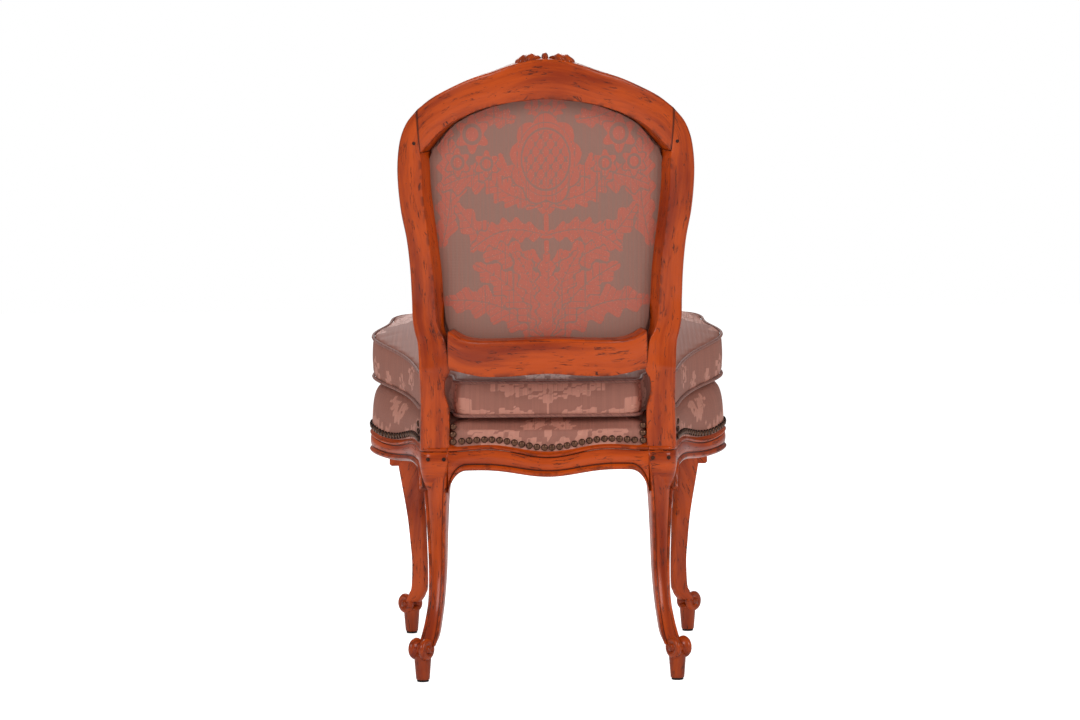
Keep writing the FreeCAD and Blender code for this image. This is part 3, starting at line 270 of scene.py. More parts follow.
def frame_grid(rows, thick, square_foot=False):
    """A member of the back: rows of its two edges, each carrying a rounded rectangle."""
    outer = back_spots(rows[:, 0] * back_half, rail_top + rows[:, 1] * back_height, 0)
    inner = back_spots(rows[:, 2] * back_half, rail_top + rows[:, 3] * back_height, 0)
    turn = np.arcsin((rows[:, 0] + rows[:, 2]) / 2 * back_half / back_radius)
    if square_foot:
        # the foot of the post turns square to the seat and stands just inside the block's bead
        share = np.clip((rows[:, 1] - turned_from) / (turned_to - turned_from), 0, 1)
        proud = (inner[0, 1] - along(foot_set_in)) * (1 - smooth_step(rows[:, 1], 0.0, foot_ends))
        inner[:, 1] -= proud
        outer[:, 1] -= proud
        square = np.stack([outer[:, 0], inner[:, 1], outer[:, 2]], -1)
        outer = square + (outer - square) * share[:, None]
        turn = turn * share
    forward = np.stack([-np.sin(turn), -np.cos(turn), 0 * turn], -1)
    across = inner - outer
    width = np.linalg.norm(across, axis=1)
    across = across / width[:, None]
    forward = forward - across * (forward * across).sum(1)[:, None]
    forward /= np.linalg.norm(forward, axis=1)[:, None]
    fuller = post_swell if square_foot else 0
    fuller = (fuller * smooth_step(rows[:, 1], *swell_from)
              * (1 - smooth_step(rows[:, 1], *swell_to)))
    run, rise = turned_profile(width + edge_lap + fuller, np.full(len(rows), thick),
                               member_radii, member_crown)
    run = run - outer_lap - fuller[:, None]
    return outer[:, None] + across[:, None] * run[..., None] + forward[:, None] * rise[..., None]


def mirrored(grid):
    """The same points on the other side of the chair."""
    return grid * np.array([-1, 1, 1])


def handed(grid, side):
    """A grid of the left side, or its mirror image for side -1."""
    return grid if side > 0 else mirrored(grid)


joint_reach = 0.0018


def end_grime(grid, near_start, near_end):
    """Dark joint line: 1 at the ends of a bar, fading out over a short reach."""
    run = grain_of(grid, 0)[..., 1]
    dark = np.zeros(run.shape)
    if near_start:
        dark = np.maximum(dark, 1 - smooth_step(run, 0, joint_reach))
    if near_end:
        dark = np.maximum(dark, 1 - smooth_step(run[-1, 0] - run, 0, joint_reach))
    return dark


bar_wear = corner_wear((1.0, 0.8, 0.6, 0.3))


# Seat rails, by plan paths of their outer faces
side_swell, side_skew, rear_bow, side_rail_lift = 0.042, 1.9, 0.005, 0.0065
rear_block_low, front_block_low = 0.258, 0.280


def side_path(share):
    """Serpentine side: straight from rear to front block plus a skewed squared sine."""
    swell = np.sin(np.pi * share**side_skew) ** 2
    return np.stack([rear_outer + (front_outer - rear_outer) * share + side_swell * swell,
                     rear_deep / 2 + (front_rear - rear_deep / 2) * share], -1)


def front_path(share):
    """Serpentine front: straight between the front blocks plus a squared sine."""
    swell = np.sin(np.pi * share) ** 2
    return np.stack([front_inner * (1 - 2 * share),
                     front_front + (seat_depth - front_front) * swell], -1)


def rear_path(share):
    """Rear rail: straight between the rear blocks with a slight bow."""
    return np.stack([rear_inner * (2 * share - 1), -rear_bow * np.sin(np.pi * share) ** 2], -1)


def outward_of(points):
    """Directions square to a plan line, out of the seat, for lines run as the paths above."""
    step = np.gradient(points, axis=0)
    step /= np.linalg.norm(step, axis=1)[:, None]
    return np.stack([step[:, 1], -step[:, 0]], -1)


def rail_edges(share, run_from_end):
    """Top and bottom of a rail: a dip in the middle, lifted quarters, ears at the ends."""
    swell, quarter = np.sin(np.pi * share) ** 4, np.sin(2 * np.pi * share) ** 2
    near = np.clip(1 - run_from_end / ear_length, 0, 0.98)
    top = rail_top - rail_dip * swell + rail_dip / 2 * quarter
    fillet = 1 - np.sqrt(1 - near**2)
    low = rail_low - rail_dip * swell + rail_dip / 5 * quarter - ear_drop * fillet
    return top, low


bead, low_bead, groove = 0.0057, 0.008, 0.0014


def moulding_steps():
    """Shares along a long and a short part of a moulding."""
    return (np.linspace(0, 1, count, endpoint=False)[None, :] for count in (9, 4))


def moulding(top, low):
    """Profile of a rail: bead, groove, crowned band, groove, lower bead, then its flat inside.

    Gives insets, heights and grime for stations whose top and bottom heights are given.
    """
    top, low = np.asarray(top)[:, None], np.asarray(low)[:, None]
    share, few = moulding_steps()
    one = 0 * top
    band_top, band_low = top - bead, low + low_bead
    insets = [0.001 + one - 0.0025 * np.sin(np.pi * share), 0.001 + groove + 0 * few + one,
              0.0004 - 0.0012 * np.sin(np.pi * share) + one, 0.001 + groove + 0 * few + one,
              0.0008 - 0.003 * np.sin(np.pi * share) + one,
              0.002 + (rail_thick - 0.002) * few + one, rail_thick + 0 * few + one,
              rail_thick - (rail_thick - ledge) * few + one, ledge + 0 * few + one]
    heights = [top - bead * share, band_top - 0.0012 * few,
               band_top - 0.0012 + (band_low - band_top + 0.0024) * share,
               band_low + 0.0012 * (1 - few), band_low - low_bead * share,
               low + 0 * few, low + (strip_top - low) * few, strip_top + 0 * few + one,
               strip_top + (top - strip_top) * few]
    clean, grimy, worn = 0 * share, 1 + 0 * few, np.sin(np.pi * share)
    dark = [clean, grimy, clean, grimy, clean] + [0 * few] * 4
    wear = [worn, 0 * few, clean, 0 * few, worn] + [0 * few] * 4
    return [np.concatenate(parts, 1) for parts in (insets, heights, dark, wear)]


def swept(line, insets, heights):
    """Profile carried along a plan line: inset square to it, at its heights."""
    out = outward_of(line)
    plan = line[:, None] - out[:, None] * insets[..., None]
    return np.stack([plan[..., 0], along(plan[..., 1]), heights], -1)


def rail_grid(path, count, lift=0.0):
    """Moulded rail on a path, its lower edge lifted towards the middle."""
    share = np.linspace(0, 1, count)
    share = share - 0.85 * np.sin(2 * np.pi * share) / (2 * np.pi)
    line = path(share)
    ends = np.minimum(*(np.linalg.norm(line - end, axis=1) for end in (line[0], line[-1])))
    top, low = rail_edges(share, ends)
    insets, heights, dark, wear = moulding(top, low + lift * np.sin(np.pi * share) ** 2)
    return swept(line, insets, heights), dark, wear


def block_grid(line, top, low):
    """Corner of a leg at the seat frame: the rail's bead and band carried round its plan."""
    count = len(line)
    share, few = moulding_steps()
    one = np.zeros((count, 1))
    tall = top - bead - low
    insets = [0.001 + one - 0.0025 * np.sin(np.pi * share), 0.001 + groove + 0 * few + one,
              0.0006 - 0.0022 * np.sin(np.pi * share) + 0.0144 * share**2.2 + one,
              0.0150 + 0.003 * few + one, 0.018 + 0 * few + one,
              0.018 - 0.017 * few + one]
    heights = [top - bead * share + one, top - bead - 0.0012 * few + one,
               top - bead - 0.0012 - tall * share + one, low + 0 * few + one,
               low + (top - low) * few + one, top + 0 * few + one]
    dark = np.concatenate([0 * share, 1 + 0 * few, 0 * share, 0 * few, 0 * few, 0 * few], 1)
    return swept(line, np.concatenate(insets, 1), np.concatenate(heights, 1)), dark


# Cabriole legs, by rows of height, way from knee to foot across and forward, and the
# section's width, depth and crown, as shares of the sizes after them
REAR_LEG_SHARES = [
    (1.000, -0.16, 0.000, 1.00, 1.00, 1.00), (0.942, -0.10, 0.020, 0.97, 0.96, 0.90),
    (0.860, -0.02, 0.050, 0.91, 0.90, 0.60), (0.769, 0.01, 0.085, 0.78, 0.79, 0.35),
    (0.608, 0.02, 0.160, 0.65, 0.68, 0.20), (0.465, 0.03, 0.256, 0.59, 0.61, 0.15),
    (0.337, 0.12, 0.415, 0.54, 0.56, 0.12), (0.252, 0.27, 0.585, 0.56, 0.57, 0.12),
    (0.195, 0.42, 0.760, 0.60, 0.58, 0.12), (0.155, 0.62, 0.900, 0.60, 0.50, 0.12)]
FRONT_LEG_SHARES = [
    (1.000, 0.00, 0.00, 1.00, 1.00, 1.00), (0.900, 0.00, 0.00, 0.96, 0.95, 0.80),
    (0.830, 0.00, 0.00, 0.91, 0.90, 0.60), (0.723, -0.28, -0.20, 0.78, 0.79, 0.35),
    (0.629, -0.60, -0.45, 0.67, 0.68, 0.20), (0.535, -1.05, -0.75, 0.62, 0.63, 0.15),
    (0.438, -1.30, -0.95, 0.58, 0.58, 0.12), (0.343, -1.50, -1.10, 0.54, 0.56, 0.12),
    (0.252, -1.45, -1.00, 0.56, 0.57, 0.12), (0.195, -0.90, -0.55, 0.60, 0.58, 0.12),
    (0.155, 0.00, 0.10, 0.60, 0.50, 0.12)]
knee_width, knee_depth, knee_crown = 0.046, 0.038, 0.012
edge_bead = 0.004


def leg_section(width, depth, crown):
    """Shield: a crowned face between two V grooves and edge beads, sides narrowing inwards.

    Gives run across the leg and rise outwards for stations whose sizes are given, with the
    grime of its grooves and the wear of its edges.
    """
    half, face = width[:, None] / 2, depth[:, None] / 2
    crown = crown[:, None]
    share = np.linspace(-1, 1, 17)[None, :]
    inner = half - edge_bead - 0.0012
    turn = np.linspace(0.15, 1.15, 7)[None, :] * math.pi / 2
    bead_run = half - edge_bead / 2 - edge_bead / 2 * np.cos(turn * 1.7 + 0.2)
    bead_rise = face - edge_bead * 0.75 + edge_bead / 2 * np.sin(turn * 1.5)
    down = np.linspace(0.08, 1, 7)[None, :]
    narrow = half * 0.45
    side_run = half - (half - narrow) * down**1.15
    side_rise = face - edge_bead - (2 * face - edge_bead - 0.003) * down
    back = np.linspace(0.9, -0.9, 7)[None, :]
    back_run = narrow * back
    back_rise = -face + 0.003 * back**4
    one = 0 * half
    runs = [share * inner, half - edge_bead - 0.0006 + one, bead_run, side_run, back_run,
            -side_run[:, ::-1], -bead_run[:, ::-1], -(half - edge_bead - 0.0006) + one]
    groove_rise = face - edge_bead * 0.95 + one
    rises = [face - edge_bead / 2 + crown * (1 - share**2), groove_rise, bead_rise, side_rise,
             back_rise + one, side_rise[:, ::-1], bead_rise[:, ::-1], groove_rise]
    dark = np.array([0.0] * 17 + [1] + [0] * 35 + [1])
    wear = np.array([0.0] * 18 + [1] * 7 + [0] * 21 + [1] * 7 + [0])
    return np.concatenate(runs, 1), np.concatenate(rises, 1), dark, wear


def leg_grid(rows, knee, foot, turn):
    """Leg: its section carried down a smooth line from knee to foot, turned to face outwards."""
    rows = smooth_rows(rows, 70)
    across, forward = (knee[axis] + (foot[axis] - knee[axis]) * rows[:, axis + 1]
                       for axis in (0, 1))
    centre = np.stack([across, along(forward), rows[:, 0] * rail_top], -1)
    run, rise, dark, wear = leg_section(rows[:, 3] * knee_width, rows[:, 4] * knee_depth,
                                        rows[:, 5] * knee_crown)
    sideways = np.array([math.cos(turn), -math.sin(turn), 0])
    outward = np.array([math.sin(turn), math.cos(turn), 0])
    grid = centre[:, None] + sideways * run[..., None] + outward * rise[..., None]
    return grid, dark, wear


def toe_profile():
    """Scroll toe from side to side: eye disc, ring groove, rounded rim, a slightly hollow roll."""
    half, radius = 0.0135, 0.0155
    rows = [(0.0004, -half - 0.0022), (0.003, -half - 0.0020), (0.0046, -half - 0.0010),
            (0.0050, -half + 0.0012), (0.0058, -half + 0.0018), (0.0068, -half + 0.0014),
            (0.0078, -half), (0.0110, -half - 0.0004), (0.0140, -half + 0.0006),
            (radius, -half + 0.0030), (radius, -half + 0.0050), (radius - 0.0012, -half + 0.0080),
            (radius - 0.0038, -half + 0.0105), (radius - 0.0064, -half + 0.0124),
            (radius - 0.0072, 0)]
    rows = np.array(rows)
    return np.vstack([rows, rows[-2::-1] * [1, -1]])


def peg_profile():
    """Tapered peg foot from the glide up into the toe, its lower edge rounded."""
    return [(0.0005, 0.003), (0.0090, 0.003), (0.0098, 0.0042), (0.0103, 0.010), (0.0116, 0.026),
            (0.0124, 0.036), (0.0124, 0.042)]


rear_knee, rear_foot = (0.156, 0.028), (0.1815, -0.054)
front_knee, front_foot = (0.208, 0.404), (0.215, 0.414)
rear_turn, front_turn = math.radians(35), math.radians(135)
toe_high, toe_out, ring_radius, ring_width = 0.047, 0.003, 0.0165, 0.0012


def add_leg(stock, rows, knee, foot, turn, offset, hand):
    """Cabriole leg: its lofted sections, scroll toe and peg foot."""
    grid, dark, wear = leg_grid(rows, knee, foot, turn)
    outward = np.array([math.sin(turn), math.cos(turn), 0])
    sideways = np.array([math.cos(turn), -math.sin(turn), 0])
    toe_at = np.array([foot[0], along(foot[1]), toe_high]) + outward * toe_out
    toe = lathe(toe_profile(), toe_at, sideways, 40)
    rim = np.linalg.norm(toe - toe_at, axis=2)
    ring = np.exp(-((rim - ring_radius) / ring_width) ** 2)
    peg = lathe(peg_profile(), (foot[0], along(foot[1]), 0), (0, 0, 1), 24)
    for form, form_dark, form_wear in ((grid, dark, wear), (toe, 0.5 * ring, 0.2),
                                       (peg, 0.3, 0.1)):
        bar(stock, handed(form, hand), offset, form_dark, form_wear)


# Seat cloths and cushion, by plan outlines drawn in towards the seat's middle

def loop(runs, count, smoothing):
    """Closed outline from plan points of its left half, from rear middle to front middle."""
    left = np.concatenate([np.atleast_2d(run) for run in runs])
    right = left[::-1] * [-1, 1]
    line = even_line(np.concatenate([left, right]), count, closed=True)
    return rolling_mean(line, smoothing)


def inset_path(path, shares, inset):
    """Plan points at shares of a path, drawn in square to it."""
    fine = np.linspace(0, 1, 401)
    line = path(fine)
    line = line - outward_of(line) * inset
    return np.stack([np.interp(shares, fine, line[:, axis]) for axis in (0, 1)], -1)


def arc_points(centre, radius, start, end, count=6):
    """Quarter of a circle in plan, by its centre, radius and two angles in degrees."""
    angle = np.radians(np.linspace(start, end, count))
    return np.stack([centre[0] + radius * np.cos(angle), centre[1] + radius * np.sin(angle)], -1)


def seat_loop(inset):
    """Outline of the fixed seat: rear, rear corner, side, cut front corner, front."""
    outer, front = front_outer - inset, front_front - inset
    side = inset_path(side_path, np.linspace(0.07, 1, 40), inset)
    post_inner = 0.678 * back_half - 0.0004
    rear = inset_path(rear_path, np.linspace(0.5, 0.985, 12), inset)
    return loop([rear, [(post_inner, rear[-1, 1]), (post_inner, rear_deep + 0.0004)],
                 [(side[0, 0] - 0.004, rear_deep + 0.0004)], side,
                 [(outer, front - 0.012), (outer - 0.012, front)],
                 inset_path(front_path, np.linspace(0, 0.5, 24), inset)], 240, 1)


def cushion_loop():
    """T-shaped outline: tongue between the posts, ears, serpentine sides, corners and front."""
    radius, tongue, ear = 0.012, 0.1355, 0.186
    rear, ear_rear, inset, corner = 0.004, 0.050, 0.004, 0.036
    side = inset_path(side_path, np.linspace(0.15, 0.94, 50), inset)
    front = inset_path(front_path, np.linspace(0.05, 0.5, 22), inset)
    turn_at = (front_outer - inset - corner, front_front - inset - corner)
    return loop([[(0, rear)], arc_points((tongue - radius, rear + radius), radius, -90, 0),
                 arc_points((tongue + radius, ear_rear - radius), radius, 180, 90),
                 arc_points((ear - radius, ear_rear + radius), radius, -90, 0), side,
                 arc_points(turn_at, corner, 0, 90, 8), front], 320, 2)


loop_middle = seat_depth / 2


def drawn_in(line, shrink):
    """Outline drawn in towards the seat's middle by a share."""
    return np.stack([line[:, 0] * (1 - shrink),
                     loop_middle + (line[:, 1] - loop_middle) * (1 - shrink)], -1)


def levels(line, rows):
    """Grid of an outline at rows of shrink and a height function of distance forward."""
    rings = []
    for shrink, height_of in rows:
        plan = drawn_in(line, shrink)
        rings.append(np.stack([plan[:, 0], along(plan[:, 1]), height_of(plan[:, 1])], -1))
    return np.array(rings)


def cushion_bottom(forward):
    return cushion_low + seat_slope * forward


def cushion_top(forward):
    return cushion_low + cushion_rear + top_slope * forward


def cushion_height(share, crown):
    """Height function of a share of the cushion's thickness, with a share of its crown."""
    return lambda forward: (cushion_bottom(forward) * (1 - share) + cushion_top(forward) * share
                            + crown * cushion_crown)


def tube(line, radius):
    """Round cord of eight sides along a closed line of points in space."""
    step = np.roll(line, -1, 0) - np.roll(line, 1, 0)
    step /= np.linalg.norm(step, axis=1)[:, None]
    side = np.cross(step, [0, 0, 1.0])
    side /= np.linalg.norm(side, axis=1)[:, None]
    other = np.cross(side, step)
    angle = full_turn(8)
    grid = (line[:, None] + side[:, None] * (radius * np.cos(angle))[None, :, None]
            + other[:, None] * (radius * np.sin(angle))[None, :, None])
    return np.concatenate([grid, grid[:1]])


cloth_frames, hold_levels = 20, 10


def puffed(piece, voxel, pressure, cap, pinned):
    """Inflates a padded piece with Cloth: its pinned points held and each move capped.

    A voxel of 0 keeps the grid as it is made.

    pinned gives, for an array of points, how firmly each is held, from 0 to 1.
    """
    if voxel:
        remesh = piece.modifiers.new("even_mesh", "REMESH")
        remesh.mode = "VOXEL"
        remesh.voxel_size = voxel
        apply_modifiers(piece)
    mesh = piece.data
    start = read_points(mesh)
    hold = pinned(start)
    group = piece.vertex_groups.new(name="held")
    for level in range(1, hold_levels + 1):
        chosen = np.flatnonzero((hold > (level - 0.5) / hold_levels)
                                & (hold <= (level + 0.5) / hold_levels))
        group.add(chosen.tolist(), level / hold_levels, "REPLACE")
    cloth = piece.modifiers.new("cloth", "CLOTH")
    cloth.settings.use_pressure = True
    cloth.settings.uniform_pressure_force = pressure
    cloth.settings.effector_weights.gravity = 0
    cloth.settings.vertex_group_mass = "held"
    cloth.settings.quality = 4
    for number in range(1, cloth_frames + 1):
        scene.frame_set(number)
    evaluated = piece.evaluated_get(bpy.context.evaluated_depsgraph_get())
    end = read_points(evaluated.data)
    piece.modifiers.remove(cloth)
    piece.vertex_groups.clear()
    scene.frame_set(1)
    move = end - start
    length = np.linalg.norm(move, axis=1)[:, None]
    move *= np.minimum(1, cap / np.maximum(length, 1e-9))
    write_points(mesh, start + move)
    smooth = piece.modifiers.new("finer", "SUBSURF")
    smooth.levels = smooth.render_levels = 1
    apply_modifiers(piece)
    mesh = piece.data
    mesh.polygons.foreach_set("use_smooth", np.full(len(mesh.polygons), True))
    return read_points(mesh)


def apply_modifiers(piece):
    """Puts a piece's modifiers into its mesh."""
    evaluated = piece.evaluated_get(bpy.context.evaluated_depsgraph_get())
    mesh = bpy.data.meshes.new_from_object(evaluated)
    piece.modifiers.clear()
    old = piece.data
    piece.data = mesh
    bpy.data.meshes.remove(old)
    mesh.name = piece.name


def read_vectors(items, key):
    """Points or normals of a mesh as rows of three."""
    values = np.empty(len(items) * 3)
    items.foreach_get(key, values)
    return values.reshape(-1, 3)


def read_points(mesh):
    return read_vectors(mesh.vertices, "co")


def write_points(mesh, points):
    mesh.vertices.foreach_set("co", np.asarray(points, float).ravel())
    mesh.update()


def read_normals(mesh):
    return read_vectors(mesh.vertex_normals, "vector")


def nearest(points, line):
    """Index of, and distance to, the nearest of a line's points, for each point."""
    index = np.empty(len(points), int)
    gap = np.empty(len(points))
    for first in range(0, len(points), 20000):
        block = points[first:first + 20000]
        square = ((block[:, None] - line[None]) ** 2).sum(2)
        index[first:first + 20000] = square.argmin(1)
        gap[first:first + 20000] = np.sqrt(square.min(1))
    return index, gap


# Damask: a pomegranate between florets and sweeping leaves, over a fan of pointed plumes.
# Each leaf is its foot across and up, its reach, lean from upright, bend and half width.
LEAVES = [
    (0.164, -0.125, 0.170, -0.06, -0.012, 0.026), (0.158, 0.022, 0.110, -0.35, 0.012, 0.024),
    (0.044, 0.056, 0.105, 1.10, 0.014, 0.022), (0.000, -0.150, 0.165, 1.02, 0.020, 0.026),
    (0.000, -0.072, 0.165, 1.36, -0.034, 0.032), (0.010, -0.060, 0.112, 0.98, 0.018, 0.022),
    (0.000, 0.054, 0.062, 0.50, 0.006, 0.014), (0.000, 0.056, 0.052, 0.00, 0.000, 0.009),
    (0.000, -0.108, 0.120, 1.75, -0.018, 0.020), (0.000, -0.262, 0.175, 1.22, -0.024, 0.028),
    (0.000, -0.262, 0.160, 0.78, -0.018, 0.026), (0.000, -0.262, 0.140, 0.36, -0.010, 0.022),
    (0.000, -0.262, 0.132, 0.00, 0.000, 0.018), (0.030, 0.140, 0.090, 1.30, 0.020, 0.020),
    (0.000, 0.150, 0.080, 0.35, 0.010, 0.018)]
FLORETS = [(0.112, 0.036, 0.023), (0.136, -0.004, 0.017), (0.090, -0.006, 0.016),
           (0.078, 0.222, 0.018)]
repeat_wide, repeat_tall, repeat_middle = 0.36, 0.54, 0.742
edge_soft, figure_gap, rib_step = 0.0009, 0.0024, 0.012


def damask(across, height):
    """Figure of the damask at cloth distances in metres: about 1 inside it, 0 on its ground.

    A leaf's half width is a root of share times one less share, cut into lobes by a cosine;
    a pomegranate is an oval whose radius swells with the cosine of its angle. Each form is a
    smooth edge of its distance, with a gap left round it in what lies under.
    """
    column = np.round(across / repeat_wide)
    x = np.abs(across - column * repeat_wide)
    y = height - repeat_middle + repeat_tall / 2 * (1 + column % 2)
    y = y % repeat_tall - repeat_tall / 2

    def inside(distance):
        return np.clip(0.5 - distance / (2 * edge_soft), 0, 1)

    def laid(under, edge, over):
        return under * (1 - inside(edge - figure_gap)) + inside(edge) * over

    figure = np.where((y < -0.06) & (y > -0.17), inside(x - 0.0035), 0)
    for foot_x, foot_y, reach, lean, bend, half in LEAVES:
        right, up, s, c = x - foot_x, y - foot_y, math.sin(lean), math.cos(lean)
        u = right * s + up * c
        share = np.clip(u / reach, 0, 1)
        v = right * c - up * s - bend * np.sin(np.pi * share)
        lobes = 1 + 0.28 * np.cos(2 * np.pi * 6 * share)
        edge = np.abs(v) - 1.55 * half * np.sqrt(share * (1 - share)) * lobes
        ribs = np.abs((u - 0.9 * np.abs(v)) / rib_step % 1 - 0.5) * rib_step - 0.0008
        veins = inside(np.minimum(np.abs(v) - 0.0009, ribs))
        edge = np.where((u > 0) & (u < reach), edge, 1.0)
        figure = laid(figure, edge, 1 - 0.9 * veins)
    for middle_x, middle_y, size in FLORETS:
        far, turn = np.hypot(x - middle_x, y - middle_y), np.arctan2(x - middle_x, y - middle_y)
        dots = inside(np.abs(far - 0.55 * size) - 0.12 * size)
        figure = laid(figure, far - size * (1 + 0.22 * np.cos(6 * turn)), 1 - dots)
    far, turn = np.hypot(x / 0.84, y), np.arctan2(x, y)
    scale = np.abs(np.sin(np.pi * (x + y * 0.7) / 0.015) * np.sin(np.pi * (x - y * 0.7) / 0.015))
    body = np.where(far < 0.040, np.clip(3 * scale, 0, 1),
                    1 - inside(np.abs(far - 0.0435) - 0.0016))
    body = body * (1 - inside(np.abs(far - 0.052) - 0.0008))
    return np.clip(laid(figure, far - 0.056 - 0.009 * np.abs(np.cos(4.5 * turn)), body), 0, 1)


def cloth_marks(across, height):
    """Marks of the damask: cloth distances and its figure."""
    place = np.stack([across, height, np.zeros_like(across)], -1)
    return {"cloth": place, "figure": damask(across, height)}


# Materials

def paint(red, green, blue):
    """Colour as linear values from the shares of red, green and blue that it shows."""
    share = np.array([red, green, blue])
    linear = np.where(share > 0.04045, ((share + 0.055) / 1.055) ** 2.4, share / 12.92)
    return (*linear.tolist(), 1.0)


def feed(tree, socket, value):
    """Fills a socket with a value, or links another socket into it."""
    if isinstance(value, bpy.types.NodeSocket):
        tree.links.new(value, socket)
    else:
        socket.default_value = value


def put(tree, kind, values=None, **settings):
    """A node of a tree, with its settings; values fill its sockets or are linked into them."""
    node = tree.nodes.new("ShaderNode" + kind)
    for key, value in settings.items():
        setattr(node, key, value)
    for key, value in (values or {}).items():
        feed(tree, node.inputs[key], value)
    return node


def sums(tree, operation, *values):
    """Math node: numbers or sockets in, one socket out."""
    return put(tree, "Math", dict(enumerate(values)), operation=operation).outputs[0]


def times(tree, first, second):
    return sums(tree, "MULTIPLY", first, second)


def plus(tree, first, second):
    return sums(tree, "ADD", first, second)


def minus(tree, first, second):
    return sums(tree, "SUBTRACT", first, second)


def scaled(tree, vector, scale):
    """A vector with each part multiplied by its own scale."""
    return put(tree, "VectorMath", {0: vector, 1: scale}, operation="MULTIPLY").outputs[0]


def mask(tree, value, low, high):
    """0 where value is at low, 1 where it is at high, smoothly between."""
    node = put(tree, "MapRange", {"Value": value, "From Min": low, "From Max": high},
               interpolation_type="SMOOTHSTEP")
    return node.outputs["Result"]


def mixed(tree, share, first, second):
    """Two colours mixed by a share."""
    node = put(tree, "Mix", data_type="RGBA")
    inputs = {item.identifier: item for item in node.inputs}
    for key, value in (("Factor_Float", share), ("A_Color", first), ("B_Color", second)):
        feed(tree, inputs[key], value)
    return next(item for item in node.outputs if item.identifier == "Result_Color")


def noise(tree, vector, scale, detail=3.0, roughness=0.55):
    return put(tree, "TexNoise", {"Vector": vector, "Scale": scale, "Detail": detail,
                                  "Roughness": roughness}).outputs["Fac"]


def effect(name, inputs, outputs):
    """A shared effect as a node group: its tree, its inputs and its outputs by name."""
    tree = bpy.data.node_groups.new(name, "ShaderNodeTree")
    for label, kind, value in inputs:
        socket = tree.interface.new_socket(label, in_out="INPUT", socket_type="NodeSocket" + kind)
        if value is not None:
            socket.default_value = value
    for label, kind in outputs:
        tree.interface.new_socket(label, in_out="OUTPUT", socket_type="NodeSocket" + kind)
    start = tree.nodes.new("NodeGroupInput")
    end = tree.nodes.new("NodeGroupOutput")
    return tree, start.outputs, end.inputs


def use(tree, group, values):
    """A shared effect placed in a material."""
    node = tree.nodes.new("ShaderNodeGroup")
    node.node_tree = group
    for key, value in values.items():
        feed(tree, node.inputs[key], value)
    return node.outputs


def finish(name):
    """A new material: its tree and its Principled shader."""
    material = bpy.data.materials.new(name)
    material.use_nodes = True
    return material, material.node_tree, material.node_tree.nodes["Principled BSDF"]


def bumped(tree, shader, height, strength, distance):
    node = put(tree, "Bump", {"Height": height, "Strength": strength, "Distance": distance})
    tree.links.new(node.outputs["Normal"], shader.inputs["Normal"])


def attribute(tree, name, output="Fac"):
    return put(tree, "Attribute", attribute_name=name).outputs[output]


# Stained wood: grain runs along the second part of the place
wood_grain, given, gives = effect("wood_grain", [
    ("Place", "Vector", None), ("Pale", "Color", paint(0.86, 0.46, 0.16)),
    ("Deep", "Color", paint(0.55, 0.22, 0.06)), ("Crack", "Color", paint(0.12, 0.05, 0.02)),
    ("Age", "Float", 1.0)], [("Color", "Color"), ("Height", "Float"), ("Dark", "Float")])
tree = wood_grain
stretched = scaled(tree, given["Place"], (60, 5, 60))
streaks = noise(tree, stretched, 1.0, 5.0, 0.6)
clouds = noise(tree, scaled(tree, given["Place"], (14, 6, 14)), 1.0, 3.0)
tone = plus(tree, times(tree, streaks, 0.6), times(tree, clouds, 0.4))
tone = mask(tree, tone, 0.34, 0.62)
colour = mixed(tree, tone, given["Deep"], given["Pale"])
# short cracks: thin lines where a stretched noise passes its middle, in scattered patches
veins = noise(tree, scaled(tree, given["Place"], (210, 17, 210)), 1.0, 3.0)
thin = sums(tree, "ABSOLUTE", minus(tree, veins, 0.5))
line = minus(tree, 1.0, mask(tree, thin, 0.004, 0.020))
patches = mask(tree, noise(tree, scaled(tree, given["Place"], (90, 34, 90)),
                                 1.0, 1.0), 0.49, 0.58)
cracks = times(tree, line, patches)
# worm holes and specks: the centres of scattered cells
cells = put(tree, "TexVoronoi", {"Vector": given["Place"], "Scale": 120.0})
keep = mask(tree, cells.outputs["Color"], 0.62, 0.64)
hole = minus(tree, 1.0, mask(tree, cells.outputs["Distance"], 0.05, 0.11))
specks = times(tree, hole, keep)
dark = times(tree, sums(tree, "MAXIMUM", cracks, specks), given["Age"])
colour = mixed(tree, times(tree, dark, 0.85), colour, given["Crack"])
tree.links.new(colour, gives["Color"])
height = minus(tree, times(tree, streaks, 0.3), dark)
tree.links.new(height, gives["Height"])
tree.links.new(dark, gives["Dark"])


def wood_finish(name, pale, deep, age, roughness, marked=True):
    """Wood: grain on the bar's own grain mark, or on its place for the plain blocks."""
    material, tree, shader = finish(name)
    place = (attribute(tree, "grain", "Vector") if marked
             else put(tree, "TexCoord").outputs["Object"])
    wood = use(tree, wood_grain, {"Place": place, "Pale": paint(*pale), "Deep": paint(*deep),
                                  "Age": age})
    colour = wood["Color"]
    if marked:
        worn = noise(tree, put(tree, "TexCoord").outputs["Object"], 60.0)
        edge = times(tree, attribute(tree, "wear"), mask(tree, worn, 0.46, 0.62))
        colour = mixed(tree, times(tree, edge, 0.60), colour, paint(0.30, 0.10, 0.03))
        colour = mixed(tree, times(tree, attribute(tree, "grime"), 0.9), colour,
                       paint(0.13, 0.05, 0.025))
    tree.links.new(colour, shader.inputs["Base Color"])
    rough = plus(tree, roughness, times(tree, wood["Dark"], 0.3))
    tree.links.new(rough, shader.inputs["Roughness"])
    shader.inputs["Specular IOR Level"].default_value = 0.24
    shader.inputs["Coat Weight"].default_value = 0.30 if marked else 0.0
    shader.inputs["Coat Roughness"].default_value = 0.14
    bumped(tree, shader, wood["Height"], 0.5, 0.0006)
    return material


